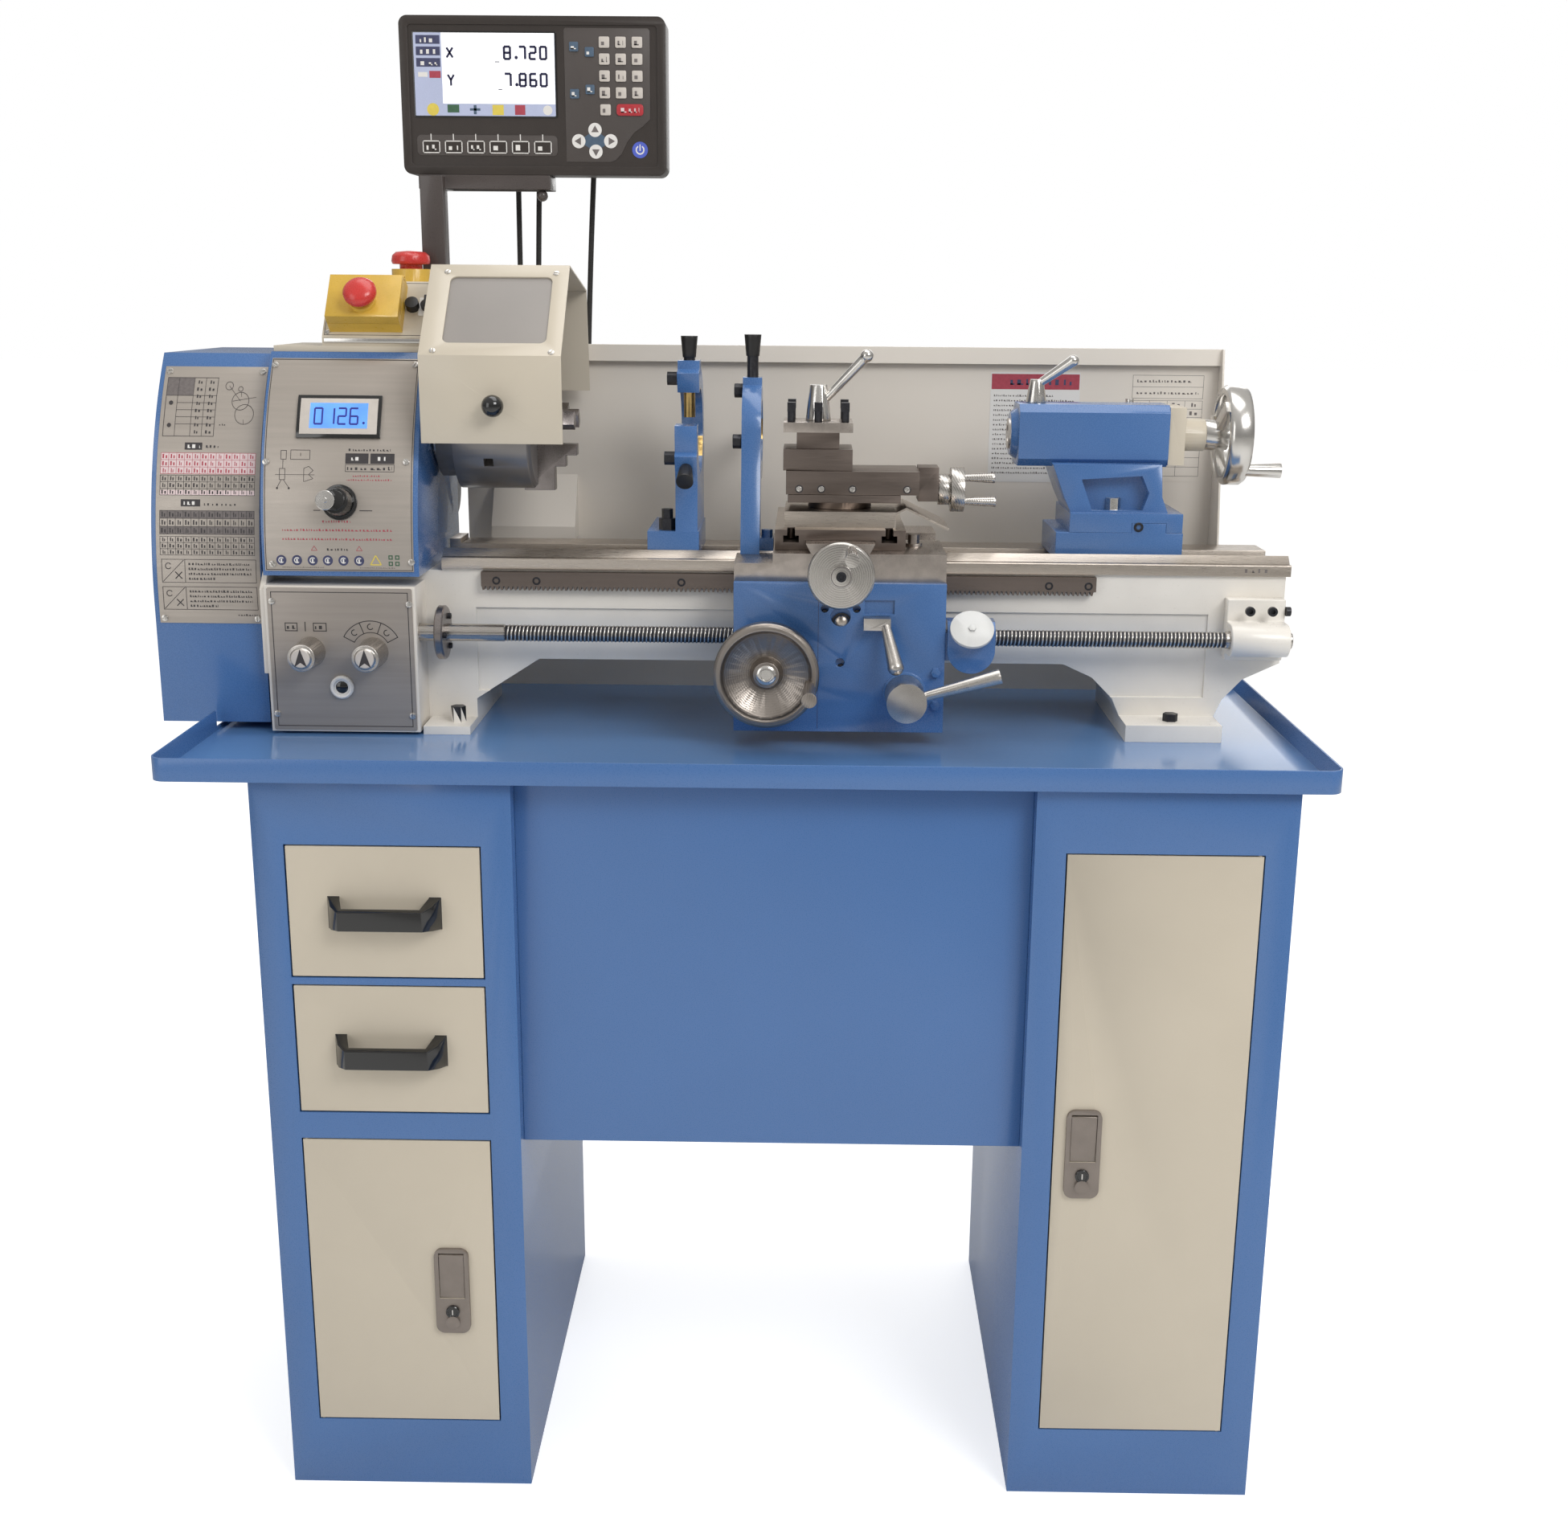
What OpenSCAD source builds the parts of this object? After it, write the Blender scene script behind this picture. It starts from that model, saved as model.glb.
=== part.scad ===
// Bench metal lathe with a two-cabinet stand, chip tray and digital readout.
// +X runs from the headstock to the tailstock, +Y to the back, +Z up.
// The origin is on the floor, at the centre of the four floor anchor holes.

/* [Stand] */
// Length of the stand over both cabinets
stand_l = 1000; // [960:10:1100]
// Depth of the cabinets
stand_d = 472; // [464:4:520]
// Width of one cabinet
cabinet_w = 250; // [240:5:290]
// Height of the cabinets
cabinet_h = 766; // [740:2:820]
// Sheet thickness of the cabinets
cabinet_t = 1.5; // [1:0.5:2.5]
// Width of the frame beside the drawers and doors
frame_w = 30; // [26:1:36]
// Frame height above the top drawer and the tall door
frame_top = 64; // [56:1:74]
// Frame height below the doors
frame_bottom = 75; // [65:1:90]
// Height of a drawer front
drawer_h = 136; // [120:2:140]
// Rail between the two drawers
drawer_rail = 7; // [6:1:14]
// Rail between the lower drawer and the door
door_rail = 28; // [20:1:36]
// Gap around a drawer front or a door
door_gap = 1.5; // [1:0.5:2.5]
// Depth of a drawer box
drawer_d = 400; // [340:10:420]
// Height of a drawer box
drawer_box_h = 96; // [80:2:100]
// Height of the panel between the cabinets
panel_h = 380; // [330:5:420]
// Set-back of the panel from the cabinet fronts
panel_back = 20; // [6:2:30]
// Distance between the floor anchor holes along the stand
anchor_x = 920; // [880:10:930]
// Distance between the floor anchor holes across the stand
anchor_y = 392; // [360:4:400]
// Radius of a floor anchor hole
anchor_r = 6; // [4:0.5:8]

/* [Chip tray] */
// Overhang of the tray past the left cabinet
tray_left = 90; // [80:2:120]
// Overhang of the tray past the right cabinet
tray_right = 36; // [32:2:60]
// Overhang of the tray in front and behind
tray_over = 12; // [4:1:20]
// Height of the tray rim
tray_rim = 23; // [16:1:30]
// Sheet thickness of the tray
tray_t = 2; // [1.5:0.5:3]
// Corner radius of the tray
tray_r = 14; // [8:1:24]

/* [Bed] */
// Length of the bed
bed_l = 1054; // [1030:2:1070]
// Width over the two ways
bed_w = 160; // [150:2:166]
// Height from the tray floor to the flat ways
bed_h = 180; // [172:2:190]
// Distance of the spindle axis behind the middle of the stand
lathe_back = 66; // [60:1:72]
// Width of the front way with its V ridge
way_front = 52; // [48:1:56]
// Width of the rear way
way_rear = 48; // [44:1:52]
// Height of the V ridge above the flat way
vee_h = 8; // [6:0.5:9]
// Wall thickness of the bed casting
bed_wall = 18; // [14:1:20]
// Height of the rack under the front way
rack_h = 19; // [15:1:22]
// Tooth pitch of the rack
rack_pitch = 4.8; // [4:0.1:7]

/* [Spindle] */
// Height of the spindle axis over the flat ways
centre_h = 127; // [124:1:132]
// Radius of the bore through the spindle
bore_r = 13; // [9:0.5:15]
// Radius of the three-jaw chuck
chuck_r = 62.5; // [55:0.5:64]
// Length of the chuck body
chuck_l = 81; // [70:1:84]
// Radius of the spindle pulley
pulley_r = 52; // [46:1:53]
// Radius of the motor pulley
motor_pulley_r = 26; // [22:1:30]
// Radius of the motor
motor_r = 37; // [32:1:38]
// Running clearance of a shaft in its bore, on the radius
fit = 0.05; // [0.02:0.01:0.1]
// Gap between a moving piece and the piece it slides along
slide_gap = 0.3; // [0.2:0.05:0.5]
// Gap under a toolpost bolt that rests on the plate
bolt_seat = 0.05; // [0.02:0.01:0.1]

/* [Headstock] */
// Length of the headstock along the bed
head_l = 160; // [156:1:164]
// Height of the headstock above its pad
head_h = 221; // [214:1:226]
// Radius of the leaning front face
head_curve = 345; // [320:5:420]
// Wall thickness of the headstock
head_wall = 12; // [8:1:14]
// Width of the gear cover
cover_w = 113; // [106:1:120]
// Height of the gear cover
cover_h = 376; // [370:1:382]
// Radius of the leaning front of the gear cover
cover_curve = 412; // [390:2:460]
// Sheet thickness of the gear cover and the chuck guard
sheet_t = 2; // [1.5:0.5:3]
// Length of the feed gearbox
gearbox_l = 155; // [150:1:158]
// Depth of the feed gearbox
gearbox_d = 50; // [48:1:56]
// Height of the feed gearbox
gearbox_h = 153; // [146:1:156]
// Radius of the feed knobs
knob_r = 14; // [11:0.5:16]
// Length of the feed knobs
knob_l = 38; // [30:1:44]

/* [Feed] */
// Radius of the leadscrew
leadscrew_r = 9; // [8:0.5:10]
// Distance of the leadscrew in front of the bed
leadscrew_y = 32; // [31:0.5:34]
// Height of the leadscrew above the tray floor
leadscrew_z = 106; // [102:1:110]
// Radius of the flange on the leadscrew
flange_r = 28; // [24:0.5:29]

/* [Carriage] */
// Length of the saddle along the bed
saddle_l = 214; // [208:1:218]
// Place of the saddle's middle along the bed
saddle_x = 63; // [58:1:66]
// Height of the apron
apron_h = 153; // [146:1:158]
// Depth of the apron
apron_d = 58; // [54:1:62]
// Radius of the apron handwheel
apron_wheel_r = 53; // [46:1:55]
// Radius of the cross-slide handwheel
cross_wheel_r = 33; // [28:1:35]
// Width of the cross slide
cross_w = 133; // [128:1:136]
// Length of the cross slide
cross_l = 200; // [190:2:206]
// Length of the compound slide
compound_l = 137; // [130:1:142]
// Width of the compound slide
compound_w = 78; // [74:1:82]
// Radius of the compound handwheel
compound_wheel_r = 23; // [20:0.5:25]
// Side of the square toolpost
toolpost_w = 71; // [66:1:74]
// Height of a tool slot
tool_slot = 17; // [13:1:20]
// Radius of the toolpost stud
stud_r = 8; // [6:0.5:9]

/* [Tailstock] */
// Length of the tailstock barrel
barrel_l = 157; // [150:1:162]
// Width of the tailstock barrel
barrel_w = 64; // [60:1:68]
// Place of the barrel's front end along the bed
barrel_x = 250; // [246:1:256]
// Radius of the quill
quill_r = 16; // [14:0.5:18]
// Radius of the bore in the quill
quill_bore = 9; // [7:0.5:10]
// Depth of the bore in the quill
quill_bore_l = 70; // [60:1:90]
// Radius of the tailstock handwheel
tail_wheel_r = 52; // [46:1:55]

/* [Rests] */
// Outside radius of the steady rest
steady_r = 66; // [62:1:70]
// Inside radius of the steady rest
steady_in = 44; // [40:1:48]
// Place of the steady rest along the bed
steady_x = -97; // [-100:1:-94]
// Outside radius of the follow rest
follow_r = 50; // [47:1:53]
// Inside radius of the follow rest
follow_in = 33; // [30:1:36]

/* [Guards and readout] */
// Width of the chuck guard
guard_w = 142; // [136:1:146]
// Height of the splash guard above the tray floor
splash_h = 392; // [380:2:400]
// Width of the readout
readout_w = 282; // [270:2:300]
// Height of the readout
readout_h = 160; // [150:2:180]
// Depth of the readout
readout_d = 45; // [36:1:52]
// Side of the readout's square post
post_w = 25; // [20:1:30]
// Diameter of the readout's cables
cable_d = 6; // [5:0.5:8]

/* [Hidden] */
$fn = 48;
eps = 1;
hull_fn = 32;

// Stand
base_t = 3;
cab_y0 = -stand_d / 2;
cab_y1 = stand_d / 2;
cab_x0 = -stand_l / 2;
cab_x1 = stand_l / 2;
front_d = 18;
open_w = cabinet_w - 2 * frame_w;
drawer_z1 = cabinet_h - frame_top - drawer_h;
drawer_z2 = drawer_z1 - drawer_rail - drawer_h;
left_door_top = drawer_z2 - door_rail;
left_door_h = left_door_top - frame_bottom;
right_door_h = cabinet_h - frame_top - frame_bottom;
left_open_x = cab_x0 + frame_w;
right_open_x = cab_x1 - cabinet_w + frame_w;
box_side = 5;
box_lift = 12;
runner_lip = 12;
pull_w = 111;
pull_h = 33;
pull_d = 25;
pull_t = 6;
lock_w = 35;
lock_h = 95;
lock_t = 4;
paddle_w = 25;
paddle_h = 50;
paddle_t = 3;
paddle_gap = 0.5;
hinge_r = 1.8;
hinge_in = 3;
hinge_l = 4.5;
bolt_r = 5;
bolt_head = 8;

// Tray and bed
tray_x0 = cab_x0 - tray_left;
tray_x1 = cab_x1 + tray_right;
tray_y0 = cab_y0 - tray_over;
tray_y1 = cab_y1 + tray_over;
tray_z = cabinet_h + tray_t;
way_z = tray_z + bed_h;
axis_y = lathe_back;
axis_z = way_z + centre_h;
bed_x0 = cab_x0 - 26;
bed_x1 = bed_x0 + bed_l;
way_y0 = axis_y - bed_w / 2;
way_y1 = axis_y + bed_w / 2;
way_lip = 4;
way_t = 12;
face_y = way_y0 + way_lip;
pad_z = way_z - 14;
leg_x1 = bed_x0 + 206;
arch_z = tray_z + 72;
foot_h = 18;
foot_out = 46;
right_leg_x = bed_x1 - 166;
right_leg_w = 100;
vee_y = way_y0 + 16;
rib_t = 12;
rib_top = way_z - 36;
rack_x0 = bed_x0 + 216;
rack_x1 = bed_x1 - 198;
rack_t = 10;
rack_z1 = way_z - way_t - 2;
tooth_h = 4;

// Headstock and spindle
head_x0 = bed_x0;
head_x1 = bed_x0 + head_l;
head_y0 = axis_y - 124;
head_y1 = axis_y + 98;
head_top = pad_z + head_h;
way_x0 = head_x1 + 14;
spindle_r = bore_r + 7;
nose_r = 40;
nose_l = 5.5;
plate_x0 = head_x1 + 6;
backplate_l = 20;
backplate_r = chuck_r - 12.5;
chuck_x0 = plate_x0 + backplate_l;
chuck_x1 = chuck_x0 + chuck_l;
jaw_w = 16;
jaw_in = 15;
jaw_out = 64;
jaw_deep = 15;
pulley_x0 = head_x0 - 30;
pulley_w = 15;
spindle_tail = 94;
spindle_x0 = head_x0 - spindle_tail;
motor_y = head_y1 + 4 + motor_r;
motor_up = 232;
motor_z = tray_z + motor_up;
motor_x0 = head_x0 + 14;
motor_l = 132;
motor_shaft_r = 8;
belt_t = 4;
belt_gap = 0.3;
pad_t = 2;
knob_skirt = 18;
speed_knob_x = head_x0 + 81;
speed_knob_z = pad_z + 74;
oil_x = head_x0 + 74;
oil_z = tray_z + 51;

// Gear cover and feed gearbox
cover_x1 = head_x0 - 7;
cover_x0 = cover_x1 - cover_w;
cover_y0 = axis_y - 107;
cover_y1 = axis_y + 174;
cover_z0 = tray_z + 8;
cover_z1 = cover_z0 + cover_h;
cover_bend = tray_z + 132;
lug_r = 5;
box_x1 = head_x0 + gearbox_l;
box_y0 = face_y - gearbox_d;
box_z0 = tray_z + 3;
box_z1 = box_z0 + gearbox_h;
feed_knob_x1 = head_x0 + 45;
feed_knob_x2 = head_x0 + 110;
feed_knob_z = box_z0 + 85;
feed_shaft_r = 6;
gear_x = head_x0 - 56;
gear_w = 12;
gear_set = [[12, 102, 38], [50, 168, 36], [64, 234, 29]];
screw_y = face_y - leadscrew_y;
screw_z = tray_z + leadscrew_z;
screw_x0 = box_x1 - 20;
screw_flange_x = box_x1 + 19;
screw_flange_t = 9;
screw_x1 = bed_x1 + 6;
bracket_x0 = bed_x1 - 62;
bracket_l = 60;

// Carriage
sad_x0 = saddle_x - saddle_l / 2;
sad_x1 = saddle_x + saddle_l / 2;
sad_y0 = way_y0 - 62;
sad_y1 = way_y1 + 14;
sad_z0 = way_z - way_t;
sad_wing = way_z + 6;
sad_top = way_z + 16;
wing_w = 39;
dove_h = 10;
dove_low = 29;
dove_top = 34.8;
cross_z1 = way_z + 37;
cross_y0 = way_y0 - 37;
tool_y = axis_y - 48;
clamp_plate = 114;
clamp_t = 16;
clamp_z1 = cross_z1 + clamp_t;
swivel_r = 33;
swivel_z1 = clamp_z1 + 8;
slide_z1 = axis_z - 34;
slide_x0 = saddle_x - 56;
slide_x1 = slide_x0 + compound_l;
male_h = 14;
male_low = 16;
male_top = 22;
cross_screw_z = way_z + 3;
cross_screw_r = 7;
cross_boss_r = 15;
cross_boss_l = 22;
cross_wheel_y = sad_y0 - 64;
compound_screw_z = slide_z1 - 21;
compound_end = 21;
compound_end_w = 36;
post_x0 = saddle_x - 59;
post_z0 = slide_z1 + slide_gap;
post_block = 21.5;
post_core = 44;
post_plate_z = post_z0 + post_block + tool_slot;
post_plate_t = 10;
stud_top = post_plate_z + post_plate_t + 22;
lever_z0 = post_plate_z + post_plate_t + slide_gap;
apron_y0 = way_y0 - 72;
apron_y1 = apron_y0 + apron_d;
apron_z0 = sad_z0 - apron_h;
apron_back = screw_y - leadscrew_r - 1;
apron_shelf = screw_z + leadscrew_r + 8;
apron_wheel_x = saddle_x - 73;
apron_wheel_z = apron_z0 + 65;
apron_wheel_y = apron_y0 - 40;
nut_x = saddle_x + 38;
nut_z = apron_z0 + 114;
feed_x = saddle_x + 67;
feed_z = apron_z0 + 41;
dial_x = sad_x1 + 26;
dial_r = 22;
dial_tilt = 45;
dial_len = 34;
rest_foot_x = sad_x0 + 4;
rest_w = 20;

// Tailstock
tail_x0 = barrel_x + 40;
tail_x1 = barrel_x + 173;
tail_y0 = axis_y - 54;
tail_y1 = axis_y + 60;
tail_base_h = 29;
tail_split = way_z + tail_base_h;
tail_foot_h = 20;
barrel_x1 = barrel_x + barrel_l;
barrel_cut = 8;
cap_l = 17;
cap_r = 17;
cap_x1 = barrel_x1 + cap_l + 25;
quill_x0 = barrel_x - 9;
quill_l = 150;
tail_wheel_x = cap_x1 + slide_gap;
lock_x = barrel_x + 20;
lock_stud_r = 6;
tail_clamp_x = tail_x1 - 45;
tail_clamp_z = tail_split + 34;
clamp_half = 46;
clamp_bolt_r = 8;
clamp_low = 14;

// Steady rest
steady_base_x0 = steady_x - 41;
steady_base_w = 54;
steady_t = 23;
steady_base_h = 27;
steady_angles = [90, 208, 332];

// Guard, splash guard and readout
guard_x0 = head_x1 + 8;
guard_x1 = guard_x0 + guard_w;
guard_pts = [[-125, -6], [-125, 80], [-40, 167], [98, 143], [113, 35]];
guard_pin_y = axis_y + 74;
guard_pin_z = axis_z + 67;
guard_pin_r = 6;
window_in = 16;
splash_y = axis_y + 138;
splash_x0 = head_x1 + 4;
splash_x1 = bed_x1 - 35;
splash_z1 = tray_z + splash_h;
lip_h = 18;
lip_d = 10;
wing_top = 16;
post_x = head_x0 + 149;
post_y = axis_y + 82;
head_plate_z = head_top + 168;
head_plate_x0 = post_x - 16;
head_plate_x1 = post_x + 126;
head_plate_t = 2.5;
bulb_x = head_plate_x1 - 10;
readout_x0 = post_x - 31;
readout_y0 = axis_y + 83;
readout_z0 = head_plate_z + 15;
cable_x = [-299, -283, -228];
cable_lean = [2, 10, 16];
cable_box_z = tray_z + 72;
cable_y = splash_y + 22;
box_w = 113;
panel_x0 = head_x0 + 51;
panel_y0 = axis_y - 38;
panel_y1 = axis_y + 68;
panel_step = 15;
panel_h_top = 71;
panel_run = 44;
panel_tilt = atan2(panel_h_top - panel_step, panel_run);
lid_x0 = panel_x0 + 8;
lid_w = 75;
lid_y0 = 6;
lid_y1 = 64;
lid_z = 14;
lid_h = 12;
mushroom_r = 17;
lid_pin_y = 62.5;
lid_pin_z = 17;
lid_ear = 9;
mushroom_y = 25;
rear_stop_x = panel_x0 + 79;
rear_stop_y = axis_y + 41;
rear_stop_r = 20.5;
rotary_x = panel_x0 + 106;

module box(x0, x1, y0, y1, z0, z1)
  translate([x0, y0, z0]) cube([x1 - x0, y1 - y0, z1 - z0]);
module cyl_x(r, x0, x1, y, z)
  translate([x0, y, z]) rotate([0, 90, 0]) cylinder(r = r, h = x1 - x0);
module cyl_y(r, y0, y1, x, z)
  translate([x, y1, z]) rotate([90, 0, 0]) cylinder(r = r, h = y1 - y0);
module cyl_z(r, z0, z1, x, y)
  translate([x, y, z0]) cylinder(r = r, h = z1 - z0);
module cone_y(r0, r1, y0, y1, x, z)
  translate([x, y0, z]) rotate([-90, 0, 0]) cylinder(r1 = r0, r2 = r1, h = y1 - y0);
module ext_x(x0, x1)
  translate([x0, 0, 0]) rotate([90, 0, 90]) linear_extrude(x1 - x0) children();
module ext_y(y0, y1)
  translate([0, y1, 0]) rotate([90, 0, 0]) linear_extrude(y1 - y0) children();
module rrect(x0, x1, y0, y1, r) {
  translate([x0 + r, y0]) square([x1 - x0 - 2 * r, y1 - y0]);
  translate([x0, y0 + r]) square([x1 - x0, y1 - y0 - 2 * r]);
  for (x = [x0 + r, x1 - r], y = [y0 + r, y1 - r]) translate([x, y]) circle(r);
}
module strip(a, b, t) {
  d = b - a;
  translate(a) rotate(atan2(d[1], d[0])) translate([0, -t / 2]) square([norm(d), t]);
}
module rod(a, b, r0, r1) {
  d = b - a;
  translate(a) rotate([0, acos(d[2] / norm(d)), atan2(d[1], d[0])])
    cylinder(r1 = r0, r2 = r1, h = norm(d));
}
module hex_x(r, x0, x1, y, z) translate([x0, y, z]) rotate([0, 90, 0]) cylinder(r = r, h = x1 - x0, $fn = 6);
module hex_y(r, y0, y1, x, z) translate([x, y1, z]) rotate([90, 0, 0]) cylinder(r = r, h = y1 - y0, $fn = 6);
module hex_z(r, z0, z1, x, y) translate([x, y, z0]) cylinder(r = r, h = z1 - z0, $fn = 6);

// One cabinet: folded sheet with a return behind every opening and four anchor holes
function hinge_x(side) = side == 0 ? left_open_x + door_gap + hinge_in : right_open_x + open_w - door_gap - hinge_in;
module cabinet_shell(x0, holes, side) {
  difference() {
    union() {
      difference() {
        box(x0, x0 + cabinet_w, cab_y0, cab_y1, 0, cabinet_h);
        box(x0 + cabinet_t, x0 + cabinet_w - cabinet_t, cab_y0 + cabinet_t, cab_y1 - cabinet_t,
            base_t, cabinet_h - cabinet_t);
      }
      for (o = holes) box(o[0] - cabinet_t, o[0] + open_w + cabinet_t, cab_y0, cab_y0 + front_d,
                          o[1] - cabinet_t, o[1] + o[2] + cabinet_t);
    }
    for (o = holes) box(o[0], o[0] + open_w, cab_y0 - eps, cab_y0 + front_d + eps, o[1], o[1] + o[2]);
    for (o = [holes[len(holes) - 1]], z = [o[1] - cabinet_t, o[1] + o[2] + cabinet_t])
      cyl_z(hinge_r + fit, z - 2 * cabinet_t, z + 2 * cabinet_t, hinge_x(side), cab_y0 + hinge_in);
    for (x = [-anchor_x / 2, anchor_x / 2], y = [-anchor_y / 2, anchor_y / 2])
      cyl_z(anchor_r, -eps, base_t + eps, x, y);
  }
}
module runner(z) {
  for (s = [0, 1]) {
    x = s == 0 ? cab_x0 + cabinet_t : left_open_x + open_w - box_side - runner_lip;
    w = frame_w - cabinet_t + box_side + runner_lip;
    box(x, x + w, cab_y0 + front_d, cab_y1 - cabinet_t, z, z + cabinet_t);
  }
}
module left_cabinet() color([0.33, 0.47, 0.69]) {
  cabinet_shell(cab_x0, [[left_open_x, drawer_z1, drawer_h], [left_open_x, drawer_z2, drawer_h],
                         [left_open_x, frame_bottom, left_door_h]], 0);
  for (z = [drawer_z1, drawer_z2]) runner(z + box_lift - slide_gap - cabinet_t);
}
module right_cabinet() color([0.33, 0.47, 0.69])
  cabinet_shell(cab_x1 - cabinet_w, [[right_open_x, frame_bottom, right_door_h]], 1);
module centre_panel() color([0.33, 0.47, 0.69]) {
  x0 = cab_x0 + cabinet_w;
  x1 = cab_x1 - cabinet_w;
  y0 = cab_y0 + panel_back;
  z0 = cabinet_h - panel_h;
  difference() {
    box(x0, x1, y0, y0 + front_d, z0, cabinet_h);
    box(x0 + cabinet_t, x1 - cabinet_t, y0 + cabinet_t, y0 + front_d + eps, z0 + cabinet_t,
        cabinet_h - cabinet_t);
  }
}

// A drawer: folded front, open box and a bevelled bridge pull
module drawer(z) {
  x0 = left_open_x + door_gap;
  x1 = left_open_x + open_w - door_gap;
  bx0 = left_open_x + box_side;
  bx1 = left_open_x + open_w - box_side;
  z0 = z + door_gap;
  z1 = z + drawer_h - door_gap;
  bz = z + box_lift;
  color([0.77, 0.72, 0.63]) {
    box(x0, x1, cab_y0, cab_y0 + front_d, z0, z1);
    difference() {
      box(bx0, bx1, cab_y0 + front_d, cab_y0 + drawer_d, bz, bz + drawer_box_h);
      box(bx0 + cabinet_t, bx1 - cabinet_t, cab_y0 + front_d, cab_y0 + drawer_d - cabinet_t,
          bz + cabinet_t, bz + drawer_box_h + eps);
    }
  }
  xm = (x0 + x1) / 2;
  zm = (z0 + z1) / 2;
  color([0.1, 0.1, 0.11]) difference() {
    intersection() {
      translate([0, 0, zm - pull_h / 2]) linear_extrude(pull_h)
        polygon([[xm - pull_w / 2, cab_y0 + eps], [xm - pull_w / 2 + pull_t, cab_y0 - pull_d * 0.6],
                 [xm - pull_w / 2 + 2.5 * pull_t, cab_y0 - pull_d], [xm + pull_w / 2 - 2.5 * pull_t, cab_y0 - pull_d],
                 [xm + pull_w / 2 - pull_t, cab_y0 - pull_d * 0.6], [xm + pull_w / 2, cab_y0 + eps]]);
      ext_x(x0, x1) polygon([[cab_y0 + eps, zm - pull_h / 2], [cab_y0 + eps, zm + pull_h / 2],
                             [cab_y0 - pull_d, zm + pull_h / 4], [cab_y0 - pull_d, zm - pull_h / 3]]);
    }
    translate([0, 0, zm - pull_h]) linear_extrude(2 * pull_h)
      polygon([[xm - pull_w / 2 + 2 * pull_t, cab_y0], [xm - pull_w / 2 + 3 * pull_t, cab_y0 - pull_d + pull_t],
               [xm + pull_w / 2 - 3 * pull_t, cab_y0 - pull_d + pull_t], [xm + pull_w / 2 - 2 * pull_t, cab_y0]]);
  }
}
module drawer_1() drawer(drawer_z1);
module drawer_2() drawer(drawer_z2);

// A door: folded pan, recessed lock plate, key cylinder and the knuckles of its hinge
module door(x, z, h, lock_x0, lock_z, side) {
  x0 = x + door_gap;
  x1 = x + open_w - door_gap;
  z0 = z + door_gap;
  z1 = z + h - door_gap;
  px = lock_x0 + lock_w / 2 - paddle_w / 2;
  pz = lock_z + lock_h - paddle_h - box_side;
  difference() {
    union() {
      color([0.77, 0.72, 0.63]) difference() {
        box(x0, x1, cab_y0, cab_y0 + front_d, z0, z1);
        box(x0 + base_t, x1 - base_t, cab_y0 + base_t, cab_y0 + front_d + eps, z0 + base_t, z1 - base_t);
      }
      color([0.55, 0.56, 0.58]) {
        for (a = [z1 - 1, z0 - hinge_l + 1]) cyl_z(hinge_r, a, a + hinge_l, hinge_x(side), cab_y0 + hinge_in);
        ext_y(cab_y0 - lock_t, cab_y0) rrect(lock_x0, lock_x0 + lock_w, lock_z, lock_z + lock_h, lock_w / 4);
        box(px - base_t, px + paddle_w + base_t, cab_y0, cab_y0 + front_d - base_t, pz - base_t,
            pz + paddle_h + base_t);
      }
    }
    box(px - paddle_gap, px + paddle_w + paddle_gap, cab_y0 - lock_t - eps, cab_y0 + front_d - 2 * base_t,
        pz - paddle_gap, pz + paddle_h + paddle_gap);
    cyl_x(paddle_t / 2 + fit, px - base_t, px + paddle_w + base_t, cab_y0 - paddle_t / 2,
          pz + paddle_h - paddle_t);
  }
  color([0.1, 0.1, 0.11]) cyl_y(lock_w / 5, cab_y0 - lock_t - base_t, cab_y0, lock_x0 + lock_w / 2,
                                lock_z + lock_w / 2.6);
}
module latch(lock_x0, lock_z) color([0.6, 0.61, 0.63]) {
  px = lock_x0 + lock_w / 2 - paddle_w / 2;
  pz = lock_z + lock_h - paddle_h - box_side;
  box(px, px + paddle_w, cab_y0 - paddle_t, cab_y0, pz, pz + paddle_h - paddle_t);
  cyl_x(paddle_t / 2, px - base_t + slide_gap, px + paddle_w + base_t - slide_gap, cab_y0 - paddle_t / 2,
        pz + paddle_h - paddle_t);
}
left_lock_x = left_open_x + open_w - 62;
left_lock_z = frame_bottom + 105;
right_lock_x = right_open_x + 13;
right_lock_z = frame_bottom + 267;
module left_door() door(left_open_x, frame_bottom, left_door_h, left_lock_x, left_lock_z, 0);
module left_latch() latch(left_lock_x, left_lock_z);
module right_door() door(right_open_x, frame_bottom, right_door_h, right_lock_x, right_lock_z, 1);
module right_latch() latch(right_lock_x, right_lock_z);

module chip_tray() color([0.33, 0.47, 0.69]) difference() {
  translate([0, 0, cabinet_h]) linear_extrude(tray_rim) rrect(tray_x0, tray_x1, tray_y0, tray_y1, tray_r);
  translate([0, 0, tray_z]) linear_extrude(tray_rim)
    rrect(tray_x0 + tray_t, tray_x1 - tray_t, tray_y0 + tray_t, tray_y1 - tray_t, tray_r - tray_t);
  box(tray_x0 - eps, tray_x0 + tray_t + eps, cover_y0 - 6, cover_y1 + 1, tray_z + 4, cabinet_h + tray_rim + eps);
}

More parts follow.
